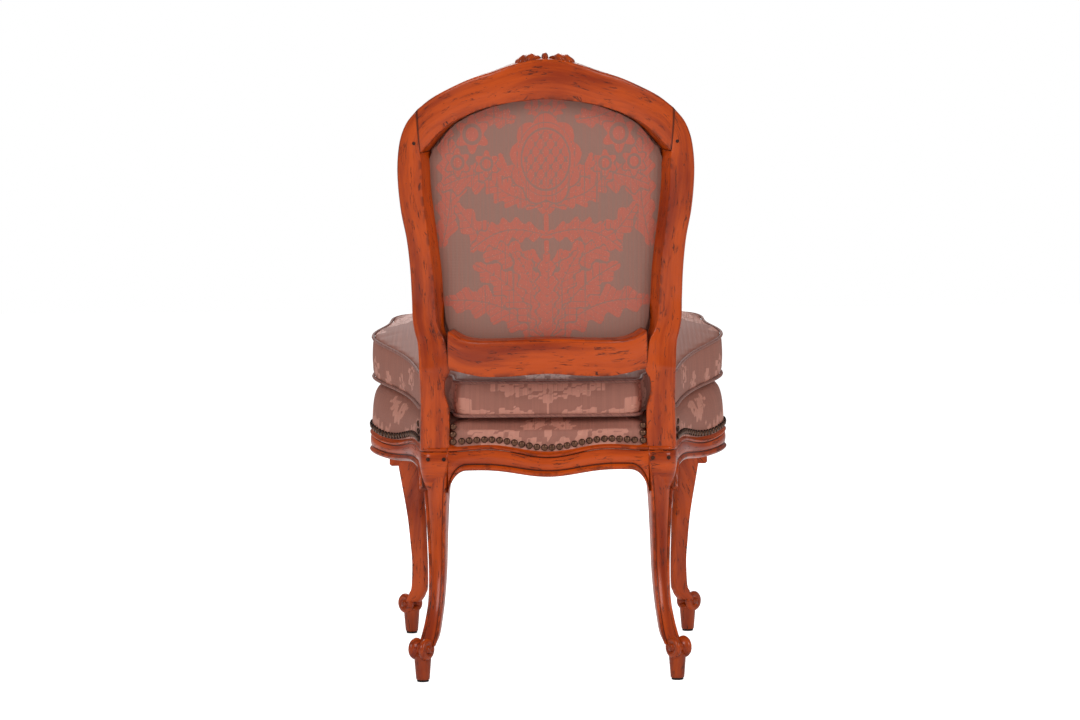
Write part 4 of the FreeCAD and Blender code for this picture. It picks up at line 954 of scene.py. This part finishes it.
frame_wood = wood_finish("stained_frame_wood", (0.77, 0.295, 0.035), (0.55, 0.165, 0.015), 1.0,
                         0.30)
peg_wood = wood_finish("dark_peg_wood", (0.30, 0.14, 0.06), (0.16, 0.07, 0.03), 0.3, 0.5, False)
block_wood = wood_finish("raw_block_wood", (0.80, 0.66, 0.46), (0.62, 0.47, 0.29), 0.3, 0.7, False)

# Ribbed cloth: fine ribs that run up the cloth, crossed by finer picks, with slubs
ribbed, given, gives = effect("ribbed_cloth", [("Place", "Vector", None), ("Ribs", "Float", 900.0),
                                               ("Picks", "Float", 1500.0)],
                              [("Height", "Float"), ("Slub", "Float"), ("Streak", "Float")])
tree = ribbed
parts = put(tree, "SeparateXYZ", {"Vector": given["Place"]})
wander = times(tree, noise(tree, given["Place"], 40.0, 1.0), 2.0)
rib = sums(tree, "SINE", plus(tree, times(tree, parts.outputs["X"], given["Ribs"]), wander))
pick = sums(tree, "SINE", times(tree, parts.outputs["Y"], given["Picks"]))
height = plus(tree, times(tree, rib, 0.35), times(tree, pick, 0.15))
tree.links.new(plus(tree, height, 0.5), gives["Height"])
slub = noise(tree, scaled(tree, given["Place"], (800, 60, 1)), 1.0, 2.0)
tree.links.new(slub, gives["Slub"])
streak = noise(tree, scaled(tree, given["Place"], (420, 8, 1)), 1.0, 3.0)
tree.links.new(streak, gives["Streak"])


def damask_finish(name, ground, figure, pale, sheen):
    """Damask: ground and figure of two sheens, vertical streaks and cream specks."""
    material, tree, shader = finish(name)
    place = attribute(tree, "cloth", "Vector")
    cloth = use(tree, ribbed, {"Place": place})
    edge = noise(tree, place, 420.0, 2.0)
    ragged = times(tree, minus(tree, edge, 0.5), 0.3)
    drawn = plus(tree, attribute(tree, "figure"), ragged)
    drawn = mask(tree, drawn, 0.35, 0.65)
    # fine streaks of the warp break the figure up
    drawn = times(tree, drawn, mask(tree, cloth["Streak"], 0.30, 0.47))
    colour = mixed(tree, drawn, paint(*ground), paint(*figure))
    streaked = mask(tree, cloth["Streak"], 0.40, 0.66)
    colour = mixed(tree, times(tree, streaked, 0.34), colour, paint(*pale))
    cells = put(tree, "TexVoronoi", {"Vector": scaled(tree, place, (520, 400, 1)), "Scale": 1.0})
    spot = minus(tree, 1.0, mask(tree, cells.outputs["Distance"], 0.10, 0.24))
    speck = times(tree, spot, mask(tree, cells.outputs["Color"], 0.50, 0.56))
    speck = times(tree, speck, plus(tree, 0.1, attribute(tree, "figure")))
    colour = mixed(tree, times(tree, speck, 0.42), colour, paint(0.88, 0.72, 0.60))
    tree.links.new(colour, shader.inputs["Base Color"])
    rough = minus(tree, 0.62, times(tree, drawn, 0.16))
    tree.links.new(rough, shader.inputs["Roughness"])
    shader.inputs["Sheen Weight"].default_value = sheen
    shader.inputs["Sheen Roughness"].default_value = 0.35
    shader.inputs["Sheen Tint"].default_value = (1.0, 0.86, 0.82, 1)
    raised = plus(tree, cloth["Height"], times(tree, drawn, 0.8))
    bumped(tree, shader, plus(tree, raised, cloth["Slub"]), 0.35, 0.0005)
    return material


panel_damask = damask_finish("panel_damask", (0.570, 0.418, 0.368), (0.735, 0.375, 0.300),
                             (0.66, 0.40, 0.335), 0.04)
cushion_damask = damask_finish("cushion_damask", (0.60, 0.385, 0.325), (0.78, 0.53, 0.455),
                               (0.70, 0.44, 0.37), 0.04)


def woven_finish(name, pale, deep, threads):
    """Plain weave on the piece's place: over and under threads, with uneven yarns."""
    material, tree, shader = finish(name)
    place = put(tree, "TexCoord").outputs["Object"]
    parts = put(tree, "SeparateXYZ", {"Vector": place})
    warp = sums(tree, "SINE", times(tree, parts.outputs["X"], threads))
    slant = plus(tree, parts.outputs["Y"], parts.outputs["Z"])
    weft = sums(tree, "SINE", times(tree, slant, threads))
    weave = times(tree, warp, weft)
    uneven = noise(tree, scaled(tree, place, (500, 60, 60)), 1.0)
    tone = plus(tree, times(tree, weave, 0.25), uneven)
    colour = mixed(tree, mask(tree, tone, 0.2, 0.85), paint(*deep), paint(*pale))
    tree.links.new(colour, shader.inputs["Base Color"])
    shader.inputs["Roughness"].default_value = 0.9
    bumped(tree, shader, weave, 0.6, 0.0005)
    return material


hessian = woven_finish("plain_hessian", (0.74, 0.62, 0.44), (0.45, 0.35, 0.22), 2400)
webbing = woven_finish("jute_webbing", (0.70, 0.57, 0.38), (0.42, 0.30, 0.18), 1500)


def welt_finish():
    """Piping: ribbed cloth wrapped on the bias, so its ribs run slantwise round the cord."""
    material, tree, shader = finish("welt_cloth")
    place = attribute(tree, "cloth", "Vector")
    cloth = use(tree, ribbed, {"Place": place, "Ribs": 2600.0, "Picks": 500.0})
    colour = mixed(tree, mask(tree, cloth["Slub"], 0.3, 0.7), paint(0.46, 0.27, 0.23),
                   paint(0.62, 0.40, 0.34))
    tree.links.new(colour, shader.inputs["Base Color"])
    shader.inputs["Roughness"].default_value = 0.6
    shader.inputs["Sheen Weight"].default_value = 0.15
    bumped(tree, shader, cloth["Height"], 0.5, 0.0004)
    return material


def nail_finish():
    """Antiqued brass: worn bright on top, brown in the hollows."""
    material, tree, shader = finish("antique_nail_brass")
    place = put(tree, "TexCoord").outputs["Object"]
    spots = noise(tree, place, 260.0)
    crown = attribute(tree, "crown")
    bright = mask(tree, plus(tree, times(tree, crown, 0.5), spots), 0.55, 1.0)
    tree.links.new(mixed(tree, bright, paint(0.16, 0.095, 0.075), paint(0.46, 0.32, 0.25)),
                   shader.inputs["Base Color"])
    tree.links.new(minus(tree, 0.55, times(tree, bright, 0.25)),
                   shader.inputs["Roughness"])
    shader.inputs["Metallic"].default_value = 0.85
    bumped(tree, shader, spots, 0.3, 0.0004)
    return material


def hard_finish(name, pale, deep, metallic, roughness, scale):
    """Hard plain finish with fine mottling and scuffs."""
    material, tree, shader = finish(name)
    place = put(tree, "TexCoord").outputs["Object"]
    mottled = noise(tree, place, scale, 4.0)
    tree.links.new(mixed(tree, mask(tree, mottled, 0.35, 0.65), paint(*deep), paint(*pale)),
                   shader.inputs["Base Color"])
    tree.links.new(plus(tree, roughness, times(tree, mottled, 0.15)),
                   shader.inputs["Roughness"])
    shader.inputs["Metallic"].default_value = metallic
    bumped(tree, shader, mottled, 0.2, 0.0003)
    return material


welt_cloth = welt_finish()
nail_brass = nail_finish()
# the glides under the feet are near-black: their colour also paints the dark shadow line where
# each foot meets the floor
glide_and_foot_shadow = hard_finish("glide_painted_foot_shadow", (0.12, 0.10, 0.09), (0.05, 0.04, 0.04), 0.0, 0.7, 600.0)
screw_steel = hard_finish("zinc_screw", (0.66, 0.66, 0.64), (0.50, 0.50, 0.49), 0.9, 0.3, 900.0)


def dress(piece, material):
    """One material over the whole of a piece."""
    slots = piece.material_slots
    if len(slots) == 0:
        piece.data.materials.append(material)
    for item in slots:
        item.material = material


def settle(piece, slot, material, *replaced):
    """Hides the nodes that a piece stands for and gives it its material; its slot is not used."""
    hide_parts(*replaced)
    dress(piece, material)


# Wooden pieces

def wooden(stock, name, replaced):
    """A piece of the frame from its gathered shells."""
    settle(stock.piece(name, "chair"), "frame_wood", frame_wood, replaced)


def bar(stock, grid, offset, dark=0.0, wear=0.0):
    """Adds a bar of wood with its grain, its grime and its wear."""
    stock.shell(grid, {"grain": grain_of(grid, offset), "grime": dark, "wear": wear})


rail_stations = 90
post_rows = smooth_rows(POST_SHARES, 90)
block_line = even_line(np.concatenate([
    [(rear_inner + 0.0003, 0.0)], [(0.160, 0.0)],
    arc_points((rear_outer - 0.0165, 0.017), 0.017, -90, 0, 10),
    [(rear_outer + 0.002, rear_deep - 0.0003)]]), 30)
front_line = even_line(np.concatenate([
    [(front_outer + 0.0005, front_rear + 0.0003)],
    arc_points((front_outer - 0.018, front_front - 0.018), 0.018, 0, 90, 10),
    [(front_inner + 0.0003, front_front)]]), 30)

for hand, side in (("left", 1), ("right", -1)):
    stock = Stock()
    post = frame_grid(post_rows, back_thick, square_foot=True)
    add_leg(stock, REAR_LEG_SHARES, rear_knee, rear_foot, rear_turn, 3.0 * side, side)
    block, dark = block_grid(block_line, rail_top, rear_block_low)
    for form, form_dark, form_wear in ((post, end_grime(post, False, True), bar_wear),
                                       (block, dark, 0.0)):
        bar(stock, handed(form, side), 5.0 * side, form_dark, form_wear)
    wooden(stock, "rear_leg_and_post_" + hand, "rear_leg_" + hand)

    stock = Stock()
    add_leg(stock, FRONT_LEG_SHARES, front_knee, front_foot, front_turn, 7.0 * side, side)
    block, dark = block_grid(front_line, rail_top, front_block_low)
    tack = np.array([(front_inner + 0.0003, front_front - ledge), (0.228, front_front - ledge),
                     (0.240, front_front - 0.016), (0.240, front_rear + 0.0003),
                     (front_inner + 0.0003, front_rear + 0.0003)])
    tack_grid = np.stack([np.stack([tack[:, 0], along(tack[:, 1]), 0 * tack[:, 0] + height], -1)
                          for height in (rail_low, strip_top)])
    bar(stock, handed(block, side), 9.0 * side, dark)
    bar(stock, handed(tack_grid, side), 9.5 * side)
    wooden(stock, "front_leg_carved_" + hand, "front_leg_" + hand)

    stock = Stock()
    rail, dark, wear = rail_grid(side_path, rail_stations, side_rail_lift)
    bar(stock, handed(rail, side), 11.0 * side, dark, wear)
    wooden(stock, "side_rail_moulded_" + hand, "side_seat_rail_" + hand)

for name, path, replaced, offset in (("rear_rail_moulded", rear_path, "rear_seat_rail", 13.0),
                                     ("front_rail_moulded", front_path, "front_seat_rail", 15.0)):
    stock = Stock()
    rail, dark, wear = rail_grid(path, rail_stations)
    bar(stock, rail, offset, dark, wear)
    wooden(stock, name, replaced)

crest_rows = np.array(CREST_SHARES)
crest_rows = np.concatenate([crest_rows, crest_rows[-2::-1] * [-1, 1, -1, 1]])
crest = frame_grid(smooth_rows(crest_rows, 120), back_thick)
stock = Stock()
bar(stock, crest, 17.0, end_grime(crest, True, True), bar_wear)


def leaf_grid(length, width, thick, lobes, rows=48, columns=32):
    """Carved leaf lying along +X: full rounded outline, lobed edge, raised midrib and veins.

    Half width is a low power of a sine of the way along, cut by lobes; the section is a lens
    whose surface dips where a sine of the way along, swept back from the midrib, is small.
    """
    share = np.linspace(0.01, 0.99, rows)[:, None]
    angle = full_turn(columns)[None, :]
    full = np.sin(np.pi * share) ** 0.42
    half = width * full * (1 - 0.13 * np.abs(np.sin(np.pi * lobes * share)))
    side = np.cos(angle)
    lens = thick * full * np.sin(angle)
    veins = 1 - 0.30 * np.abs(np.sin(np.pi * lobes * share + 2.2 * np.abs(side)))
    return np.stack([length * (share + 0 * angle), lens * veins, half * side], -1)


def turned(grid, tilt):
    """Grid turned about Y by an angle in degrees, +X towards +Z."""
    c, s = math.cos(math.radians(tilt)), math.sin(math.radians(tilt))
    return np.stack([grid[..., 0] * c - grid[..., 2] * s, grid[..., 1],
                     grid[..., 0] * s + grid[..., 2] * c], -1)


top = back_spots(np.array([0.0]), np.array([crest_top]), back_thick / 2)[0]
leaf = turned(leaf_grid(0.038, 0.0122, 0.0165, 3), -9) + top + [0.0045, 0, 0.0008]
bud = turned(leaf_grid(0.018, 0.0058, 0.012, 1, 24, 20), 90) + top - [0, 0, 0.007]
for form, offset in ((leaf, 19.0), (mirrored(leaf), 21.0), (bud, 23.0)):
    bar(stock, form, offset, 0.12, 0.8)
wooden(stock, "crest_carved", "crest_rail")

# Rows of across, rise of the lower edge and rise of the upper edge
LOWER_SHARES = [
    (0.680, 0.10, 0.27), (0.668, 0.095, 0.24), (0.645, 0.080, 0.18), (0.615, 0.055, 0.11),
    (0.58, 0.02, 0.05), (0.53, -0.03, 0.0), (0.46, -0.087, -0.02), (0.36, -0.10, -0.015),
    (0.255, -0.08, 0.0), (0.12, -0.03, 0.03), (0, 0, 0.04)]
lower_tall = lower_high - lower_low
lower_rows = [(across, (lower_high + high * lower_tall - rail_top) / back_height, across,
               (lower_low + rise * lower_tall - rail_top) / back_height)
              for across, rise, high in LOWER_SHARES]
lower_rows = np.array(lower_rows + [(-a, b, -c, d) for a, b, c, d in lower_rows[-2::-1]])
lower = frame_grid(smooth_rows(lower_rows, 90), lower_thick)
stock = Stock()
bar(stock, lower, 25.0, end_grime(lower, True, True), bar_wear)
wooden(stock, "lower_rail_shaped", "lower_back_rail")


# Covers of the seat and the cushion

def padded_piece(name, rings, body, replaced, voxel, pressure, cap, pinned):
    """Closed pad from rings of an outline, inflated, in its damask."""
    stock = Stock()
    stock.shell(rings, {})
    piece = stock.piece(name, body)
    points = puffed(piece, voxel, pressure, cap, pinned)
    settle(piece, "damask", cushion_damask, *replaced)
    return piece, points


def wrapped_cloth(points, normals, line):
    """Cloth distances: plan on top and underneath, distance round and height on the sides."""
    index, _ = nearest(points[:, :2], np.stack([line[:, 0], along(line[:, 1])], -1))
    step = np.linalg.norm(np.roll(line, -1, 0) - line, axis=1)
    round_run = np.r_[0, np.cumsum(step)[:-1]][index]
    round_run = np.where(round_run > step.sum() / 2, round_run - step.sum(), round_run)
    flat = np.abs(normals[:, 2]) > 0.6
    return (np.where(flat, points[:, 0], round_run),
            np.where(flat, points[:, 1] + repeat_middle, points[:, 2] + 0.272))


cushion_line = cushion_loop()
seam, welt_radius, welt_set_in = 0.06, 0.0023, 0.0015
pad_voxel, under_gap, seat_crown = 0.006, 0.008, 0.0076
CUSHION_LEVELS = [(1.0, 0.0, 0.0), (0.6, 0.0, 0.0), (0.3, 0.0, 0.0), (0.12, 0.0, 0.0),
                  (0.040, 0.0, 0.0), (0.010, 0.020, 0.0), (0.0, 0.2, 0.0), (-0.004, 0.5, 0.0),
                  (0.0, 0.8, 0.0), (0.010, 0.98, 0.0), (0.040, 1.0, 0.10), (0.10, 1.0, 0.35),
                  (0.19, 1.0, 0.58), (0.32, 1.0, 0.76), (0.50, 1.0, 0.86), (0.75, 1.0, 0.92),
                  (0.98, 1.0, 0.94)]
rings = levels(cushion_line, [(min(shrink, 0.98), cushion_height(share, crown))
                              for shrink, share, crown in CUSHION_LEVELS])
seams = {name: levels(cushion_line, [(0.0, cushion_height(share, 0.0))])[0]
         for name, share in (("bottom", seam), ("top", 1 - seam))}


def cushion_hold(points):
    """Held firmly at the two seams and on the flat underside."""
    _, gap = nearest(points, np.concatenate([seams["bottom"], seams["top"]]))
    under = points[:, 2] < cushion_bottom(rear_face - points[:, 1]) + 0.003
    return np.maximum(np.where(under, 0.8, 0.0), 1 - smooth_step(gap, 0.003, 0.011))


cushion, points = padded_piece("cushion_case", rings, "cushion", ("cushion_core", "cushion_cover"),
                               pad_voxel, 4.0, 0.009, cushion_hold)
add_marks(cushion.data, cloth_marks(*wrapped_cloth(points, read_normals(cushion.data),
                                                   cushion_line)))

for name, line in seams.items():
    outline = drawn_in(cushion_line, welt_set_in)
    cord = tube(np.stack([outline[:, 0], along(outline[:, 1]), line[:, 2]], -1), welt_radius)
    run = grain_of(cord, 0)
    stock = Stock()
    stock.shell(cord, {"grain": run}, caps=False)
    piece = stock.piece("cushion_piping_" + name, "cushion")
    around, down = run.reshape(-1, 3)[:, 0], run.reshape(-1, 3)[:, 1]
    add_marks(piece.data, {"cloth": np.stack([down + around, around, 0 * around], -1)})
    settle(piece, "welt", welt_cloth, "cushion_welt_" + name)

# Rows of shrink, share of the height and share of the crown, from the edge of the skirt
SEAT_LEVELS = [(0.0, 0.0, 0.0), (-0.002, 0.35, 0.0), (0.0, 0.65, 0.0), (0.006, 0.80, 0.0),
               (0.018, 0.92, 0.0), (0.040, 1.0, 0.06), (0.075, 1.0, 0.22), (0.130, 1.0, 0.45),
               (0.21, 1.0, 0.66), (0.30, 1.0, 0.80), (0.42, 1.0, 0.92), (0.55, 1.0, 1.0),
               (0.70, 1.0, 1.0), (0.85, 1.0, 1.0), (0.98, 1.0, 1.0)]
seat_line = seat_loop(ledge - cover_thick)
skirt_low, pad_low = rail_top - rail_dip, strip_top + 0.0040


def seat_height(share, crown):
    """Height function of the seat cover: from its level lower edge to its sloping top."""
    def height_of(forward):
        top = cushion_bottom(forward) - under_gap
        return skirt_low * (1 - share) + top * share + crown * seat_crown
    return height_of


def level_at(height):
    return lambda forward: height + 0 * forward


# underneath, the pad lies on its hessian and the skirt hangs outside the tacking strip
under = [(0.98, level_at(pad_low)), (0.60, level_at(pad_low)), (0.25, level_at(pad_low)),
         (0.06, level_at(pad_low)), (0.0075, level_at(pad_low)), (0.0075, level_at(skirt_low))]
rings = levels(seat_line, under + [(shrink, seat_height(share, crown))
                                   for shrink, share, crown in SEAT_LEVELS])
seat, points = padded_piece("seat_case", rings, "chair", ("seat_cover", "seat_pad"), 0, 1.5, 0.004,
                            lambda points: 1 - smooth_step(points[:, 2], pad_low + 0.001,
                                                           pad_low + 0.008))
add_marks(seat.data, cloth_marks(*wrapped_cloth(points, read_normals(seat.data), seat_line)))

# Back upholstery, by rows of across, lower and upper edge of the opening, as shares
OPENING_SHARES = np.array([
    (0.000, 0.262, 0.902), (0.239, 0.260, 0.894), (0.382, 0.260, 0.883), (0.539, 0.260, 0.862),
    (0.640, 0.262, 0.842), (0.700, 0.280, 0.822), (0.745, 0.330, 0.802), (0.778, 0.464, 0.786),
    (0.811, 0.572, 0.778), (0.842, 0.670, 0.750)])
edge_share = OPENING_SHARES[-1, 0]


def opening(columns, rows, widen):
    """Grid over the opening of the back: across, and height between its two edges."""
    share = np.sin(np.linspace(-1, 1, columns) * math.pi / 2) * edge_share
    low, high = (rail_top + back_height * np.interp(np.abs(share), OPENING_SHARES[:, 0], edge)
                 for edge in (OPENING_SHARES[:, 1], OPENING_SHARES[:, 2]))
    low, high = low - widen, high + widen
    across = share * back_half * (1 + widen / back_half)
    up = np.linspace(0, 1, rows)[:, None]
    return across[None, :] + 0 * up, low + (high - low) * up


panel_columns, panel_rows = 250, 260
across, height = opening(panel_columns, panel_rows, 0.0)
depth = 0.0301 + (0.024 - 0.0301) * (height - lower_high) / (crest_top - lower_high)
points = back_spots(across, height, depth)
panel_faces = grid_faces(panel_rows, panel_columns, False)[:, ::-1].tolist()
unrolled = back_radius * np.arcsin(across / back_radius)
panel = make_mesh("back_outer_panel", points, panel_faces, "chair",
                  cloth_marks(unrolled.ravel(), height.ravel()))
settle(panel, "damask", panel_damask, "back_outer_cover")

across, height = opening(60, 50, 0.014)
share = np.abs(across) / across.max()
rise = np.linspace(0, 1, 50)[:, None]
full = np.sqrt(np.clip(1 - 0.95 * share**4, 0, 1)) * np.sqrt(np.clip(4 * rise * (1 - rise), 0, 1))
front = back_spots(across, height, back_thick + 0.003 + 0.024 * full)
rear = back_spots(across, height, back_thick + 0.0006 + 0 * across)
rows, columns = across.shape
faces = grid_faces(rows, columns, False)
index = np.arange(rows * columns).reshape(rows, columns)
rim = np.concatenate([index[0, :-1], index[:-1, -1], index[-1, :0:-1], index[:0:-1, 0]])
after, layer = np.roll(rim, -1), rows * columns
side_faces = np.stack([rim, after, after + layer, rim + layer], -1)
faces = np.concatenate([faces, faces[:, ::-1] + layer, side_faces[:, ::-1]])
pillow_points = np.concatenate([front.reshape(-1, 3), rear.reshape(-1, 3)])
pillow = make_mesh("back_inner_pillow", pillow_points, faces.tolist(), "chair")
rear_points = rear.reshape(-1, 3)[::3]


def pillow_hold(points):
    """Held firmly on the flat side that lies against the frame."""
    _, gap = nearest(points, rear_points)
    return 1 - smooth_step(gap, 0.002, 0.008)


points = puffed(pillow, pad_voxel, 3.0, 0.008, pillow_hold)
add_marks(pillow.data, cloth_marks(points[:, 0], points[:, 2]))
settle(pillow, "damask", cushion_damask, "back_inner_cover", "back_pad")


# Nails

def nail_heads(name, replaced, places, ways):
    """Domed heads: rings of a sphere's cap about each way, all in one mesh."""
    rings, sides = 5, 10
    turn = np.linspace(0, 1, rings)[:, None]
    radius = nail_radius * np.cos(turn * math.pi / 2) ** 0.8
    rise = nail_rise * np.sin(turn * math.pi / 2)
    angle = full_turn(sides)[None, :]
    ways = ways / np.linalg.norm(ways, axis=1)[:, None]
    side = np.cross(ways, [0, 0, 1.0])
    side /= np.linalg.norm(side, axis=1)[:, None]
    other = np.cross(side, ways)
    run = (radius * np.cos(angle))[None, ..., None] * side[:, None, None]
    lift = (radius * np.sin(angle))[None, ..., None] * other[:, None, None]
    out = (rise + 0 * angle)[None, ..., None] * ways[:, None, None]
    points = places[:, None, None] + run + lift + out
    quads = grid_faces(rings, sides, True)
    each = points.shape[1] * points.shape[2]
    start = np.arange(len(places))[:, None, None] * each
    faces = (quads[None] + start).reshape(-1, 4).tolist()
    faces += (np.arange(sides)[::-1][None] + start[:, 0]).tolist()
    crown = np.broadcast_to((rise / nail_rise)[None] + 0 * angle[None], points.shape[:3]).ravel()
    piece = make_mesh(name, points, faces, "chair", {"crown": crown})
    settle(piece, "nail_brass", nail_brass, replaced)


def spaced(places, ways, first):
    """Places and ways at an even pitch along a row."""
    run = np.r_[0, np.cumsum(np.linalg.norm(np.diff(places, axis=0), axis=1))]
    due = np.arange(first, run[-1], nail_pitch)
    return [np.stack([np.interp(due, run, column) for column in values.T], -1)
            for values in (places, ways)]


tack_face, corner_cut = ledge - cover_thick - 0.001, 0.012


def skirt_row(path, low, high):
    """A row on the seat cover's skirt, above a rail's moulding."""
    share = np.linspace(0, 1, 201)
    line = path(share)
    out = outward_of(line)
    top, _ = rail_edges(share, 1.0)
    plan = line - out * tack_face
    places = np.stack([plan[:, 0], along(plan[:, 1]), top + nail_lift], -1)
    ways = np.stack([out[:, 0], -out[:, 1], 0 * share], -1)
    chosen = (share >= low) & (share <= high)
    return places[chosen], ways[chosen]


def both_sides(rows):
    """Places and ways of all the rows, then their mirror images."""
    lists = [np.concatenate([row[part] for row in rows]) for part in (0, 1)]
    return [np.concatenate([values, mirrored(values)]) for values in lists]


post_low = rail_top + nail_lift
rear_row = skirt_row(rear_path, 0.5, 0.972)
side_row = skirt_row(side_path, 0.072, 1.0)
front_row = skirt_row(front_path, 0.0, 0.5)
outer, front = front_outer - tack_face, front_front - tack_face
corner = np.array([(outer, along(front - corner_cut), post_low),
                   (outer - corner_cut, along(front), post_low)])
whole = np.concatenate([side_row[0], corner, front_row[0]])
ways = np.concatenate([side_row[1], [(0.7, -0.7, 0), (0.7, -0.7, 0)], front_row[1]])
climb = np.arange(3)[:, None] * nail_pitch * np.array([[0, 0, 1.0]])
beside_post = 0.1362
rear_nails = spaced(*rear_row, nail_pitch / 2)
short = rear_nails[0][:, 0] <= beside_post - 2 * nail_radius
seat_rows = [[values[short] for values in rear_nails], spaced(whole, ways, nail_pitch),
             (np.array([(beside_post, along(tack_face), post_low)]) + climb,
              np.tile([0, 1.0, 0], (3, 1))),
             (side_row[0][:1] + climb, np.tile(side_row[1][:1], (3, 1)))]
nail_heads("seat_nail_heads", "seat_nails", *both_sides(seat_rows))

rim_across = np.concatenate([OPENING_SHARES[:, 0], OPENING_SHARES[::-1, 0]]) * back_half
rim_across = rim_across * (1 + 0.009 / back_half)
rim_height = np.concatenate([OPENING_SHARES[:, 1] * back_height - 0.009,
                             OPENING_SHARES[::-1, 2] * back_height + 0.009]) + rail_top
places = back_spots(rim_across, rim_height, back_thick + 0.004)
turn = np.arcsin(rim_across / back_radius)
ways = np.stack([-np.sin(turn), -np.cos(turn), 0 * turn], -1)
nail_heads("back_nail_heads", "back_nails", *both_sides([spaced(places, ways, nail_pitch / 2)]))

# Pegs across the joints, by their place on the left and the way that they face
post_turn = math.asin(0.155 / back_radius)
post_way, crest_way = (math.sin(post_turn), math.cos(post_turn), 0), (0.44, 0.9, 0)
peg_high = 0.3125
PEGS = [(back_spots(np.array([0.155]), np.array([0.458]), -0.0012)[0], post_way),
        (back_spots(np.array([0.186]), np.array([0.766]), -0.0012)[0], crest_way),
        ((0.150, along(-0.0018), peg_high), (0, 1, 0)),
        ((0.173, along(-0.0008), peg_high), (0.2, 1, 0)),
        ((0.218, along(front_front + 0.0018), peg_high), (0, -1, 0)),
        ((rear_outer + 0.0012, along(rear_deep - 0.010), peg_high), (1, 0, 0)),
        ((front_outer + 0.0018, along(front_rear + 0.010), peg_high), (1, 0, 0))]
peg_end = [(0.0003, 0.0004), (0.0022, 0.0003), (0.0028, -0.0002), (0.0029, -0.008)]
stock = Stock()
for place, way in PEGS:
    peg = lathe(peg_end, place, way, 20)
    for form in (peg, mirrored(peg)):
        stock.shell(form, {})
settle(stock.piece("joint_peg_ends", "chair"), "frame_wood", peg_wood, "joint_pegs")

# Pieces that keep their solids
# the near-black of the glides is partly painted shadow at the base of each foot
for place in ("rear_left", "rear_right", "front_left", "front_right"):
    dress(nodes["foot_glide_" + place], glide_and_foot_shadow)
    dress(nodes["corner_block_" + place], block_wood)
for name, material in (("corner_block_screws", screw_steel), ("webbing_front_to_back", webbing),
                       ("webbing_side_to_side", webbing), ("seat_hessian", hessian),
                       ("back_lining", hessian)):
    dress(nodes[name], material)


# Camera, straight behind the chair where the photograph was taken from
focal_pixels, wide_pixels, shift_pixels = 3500, 1080, 5.3
camera_away, camera_high, camera_dip, camera_roll = 5.0, 0.8126, 4.10, 0.5
camera_data = bpy.data.cameras.new("camera")
camera_data.sensor_width = 36
camera_data.lens = 36 * focal_pixels / wide_pixels
camera_data.shift_x = -shift_pixels / wide_pixels
camera = placed("camera", camera_data)
camera.location = (0, rear_face + camera_away, camera_high)
camera.rotation_euler = (math.radians(90 - camera_dip), math.radians(camera_roll),
                         math.radians(180))
scene.camera = camera
scene.view_settings.view_transform = "Standard"

# Floor and light
floor_mesh = bpy.data.meshes.new("floor")
floor_mesh.from_pydata([(-9, -9, 0), (9, -9, 0), (9, 9, 0), (-9, 9, 0)], [], [(0, 1, 2, 3)])
floor = placed("floor", floor_mesh)
white, tree, shader = finish("white_floor")
shader.inputs["Base Color"].default_value = (0.93, 0.93, 0.93, 1)
shader.inputs["Roughness"].default_value = 0.9
shader.inputs["Emission Color"].default_value = (1, 1, 1, 1)
seen = put(tree, "LightPath").outputs["Is Camera Ray"]
tree.links.new(times(tree, seen, 0.75), shader.inputs["Emission Strength"])
floor_mesh.materials.append(white)

world = bpy.data.worlds.new("studio")
world.use_nodes = True
scene.world = world
backdrop = world.node_tree.nodes["Background"]
backdrop.inputs["Color"].default_value = (1, 1, 1, 1)
# the studio is plain white to the camera, dimmer as a light and dimmest in a gloss
tree = world.node_tree
path = put(tree, "LightPath").outputs
looked = sums(tree, "MAXIMUM", path["Is Camera Ray"], path["Is Transmission Ray"])
gloss = times(tree, path["Is Glossy Ray"], 0.24)
strength = minus(tree, plus(tree, times(tree, looked, 0.58), 0.42), gloss)
tree.links.new(strength, backdrop.inputs["Strength"])


aim_high = 0.45


def area_light(name, place, width, power):
    """A square softbox that faces the middle of the chair."""
    data = bpy.data.lights.new(name, "AREA")
    data.shape = "RECTANGLE"
    data.size = data.size_y = width
    data.energy = power
    light = placed(name, data)
    light.location = place
    aim = Vector((0, 0, aim_high)) - Vector(place)
    light.rotation_euler = aim.to_track_quat("-Z", "Y").to_euler()


area_light("left_softbox", (2.2, 2.6, 2.0), 1.6, 40)
area_light("right_softbox", (-2.2, 2.6, 2.0), 1.6, 40)
area_light("front_softbox", (0.3, -2.5, 2.4), 1.8, 34)
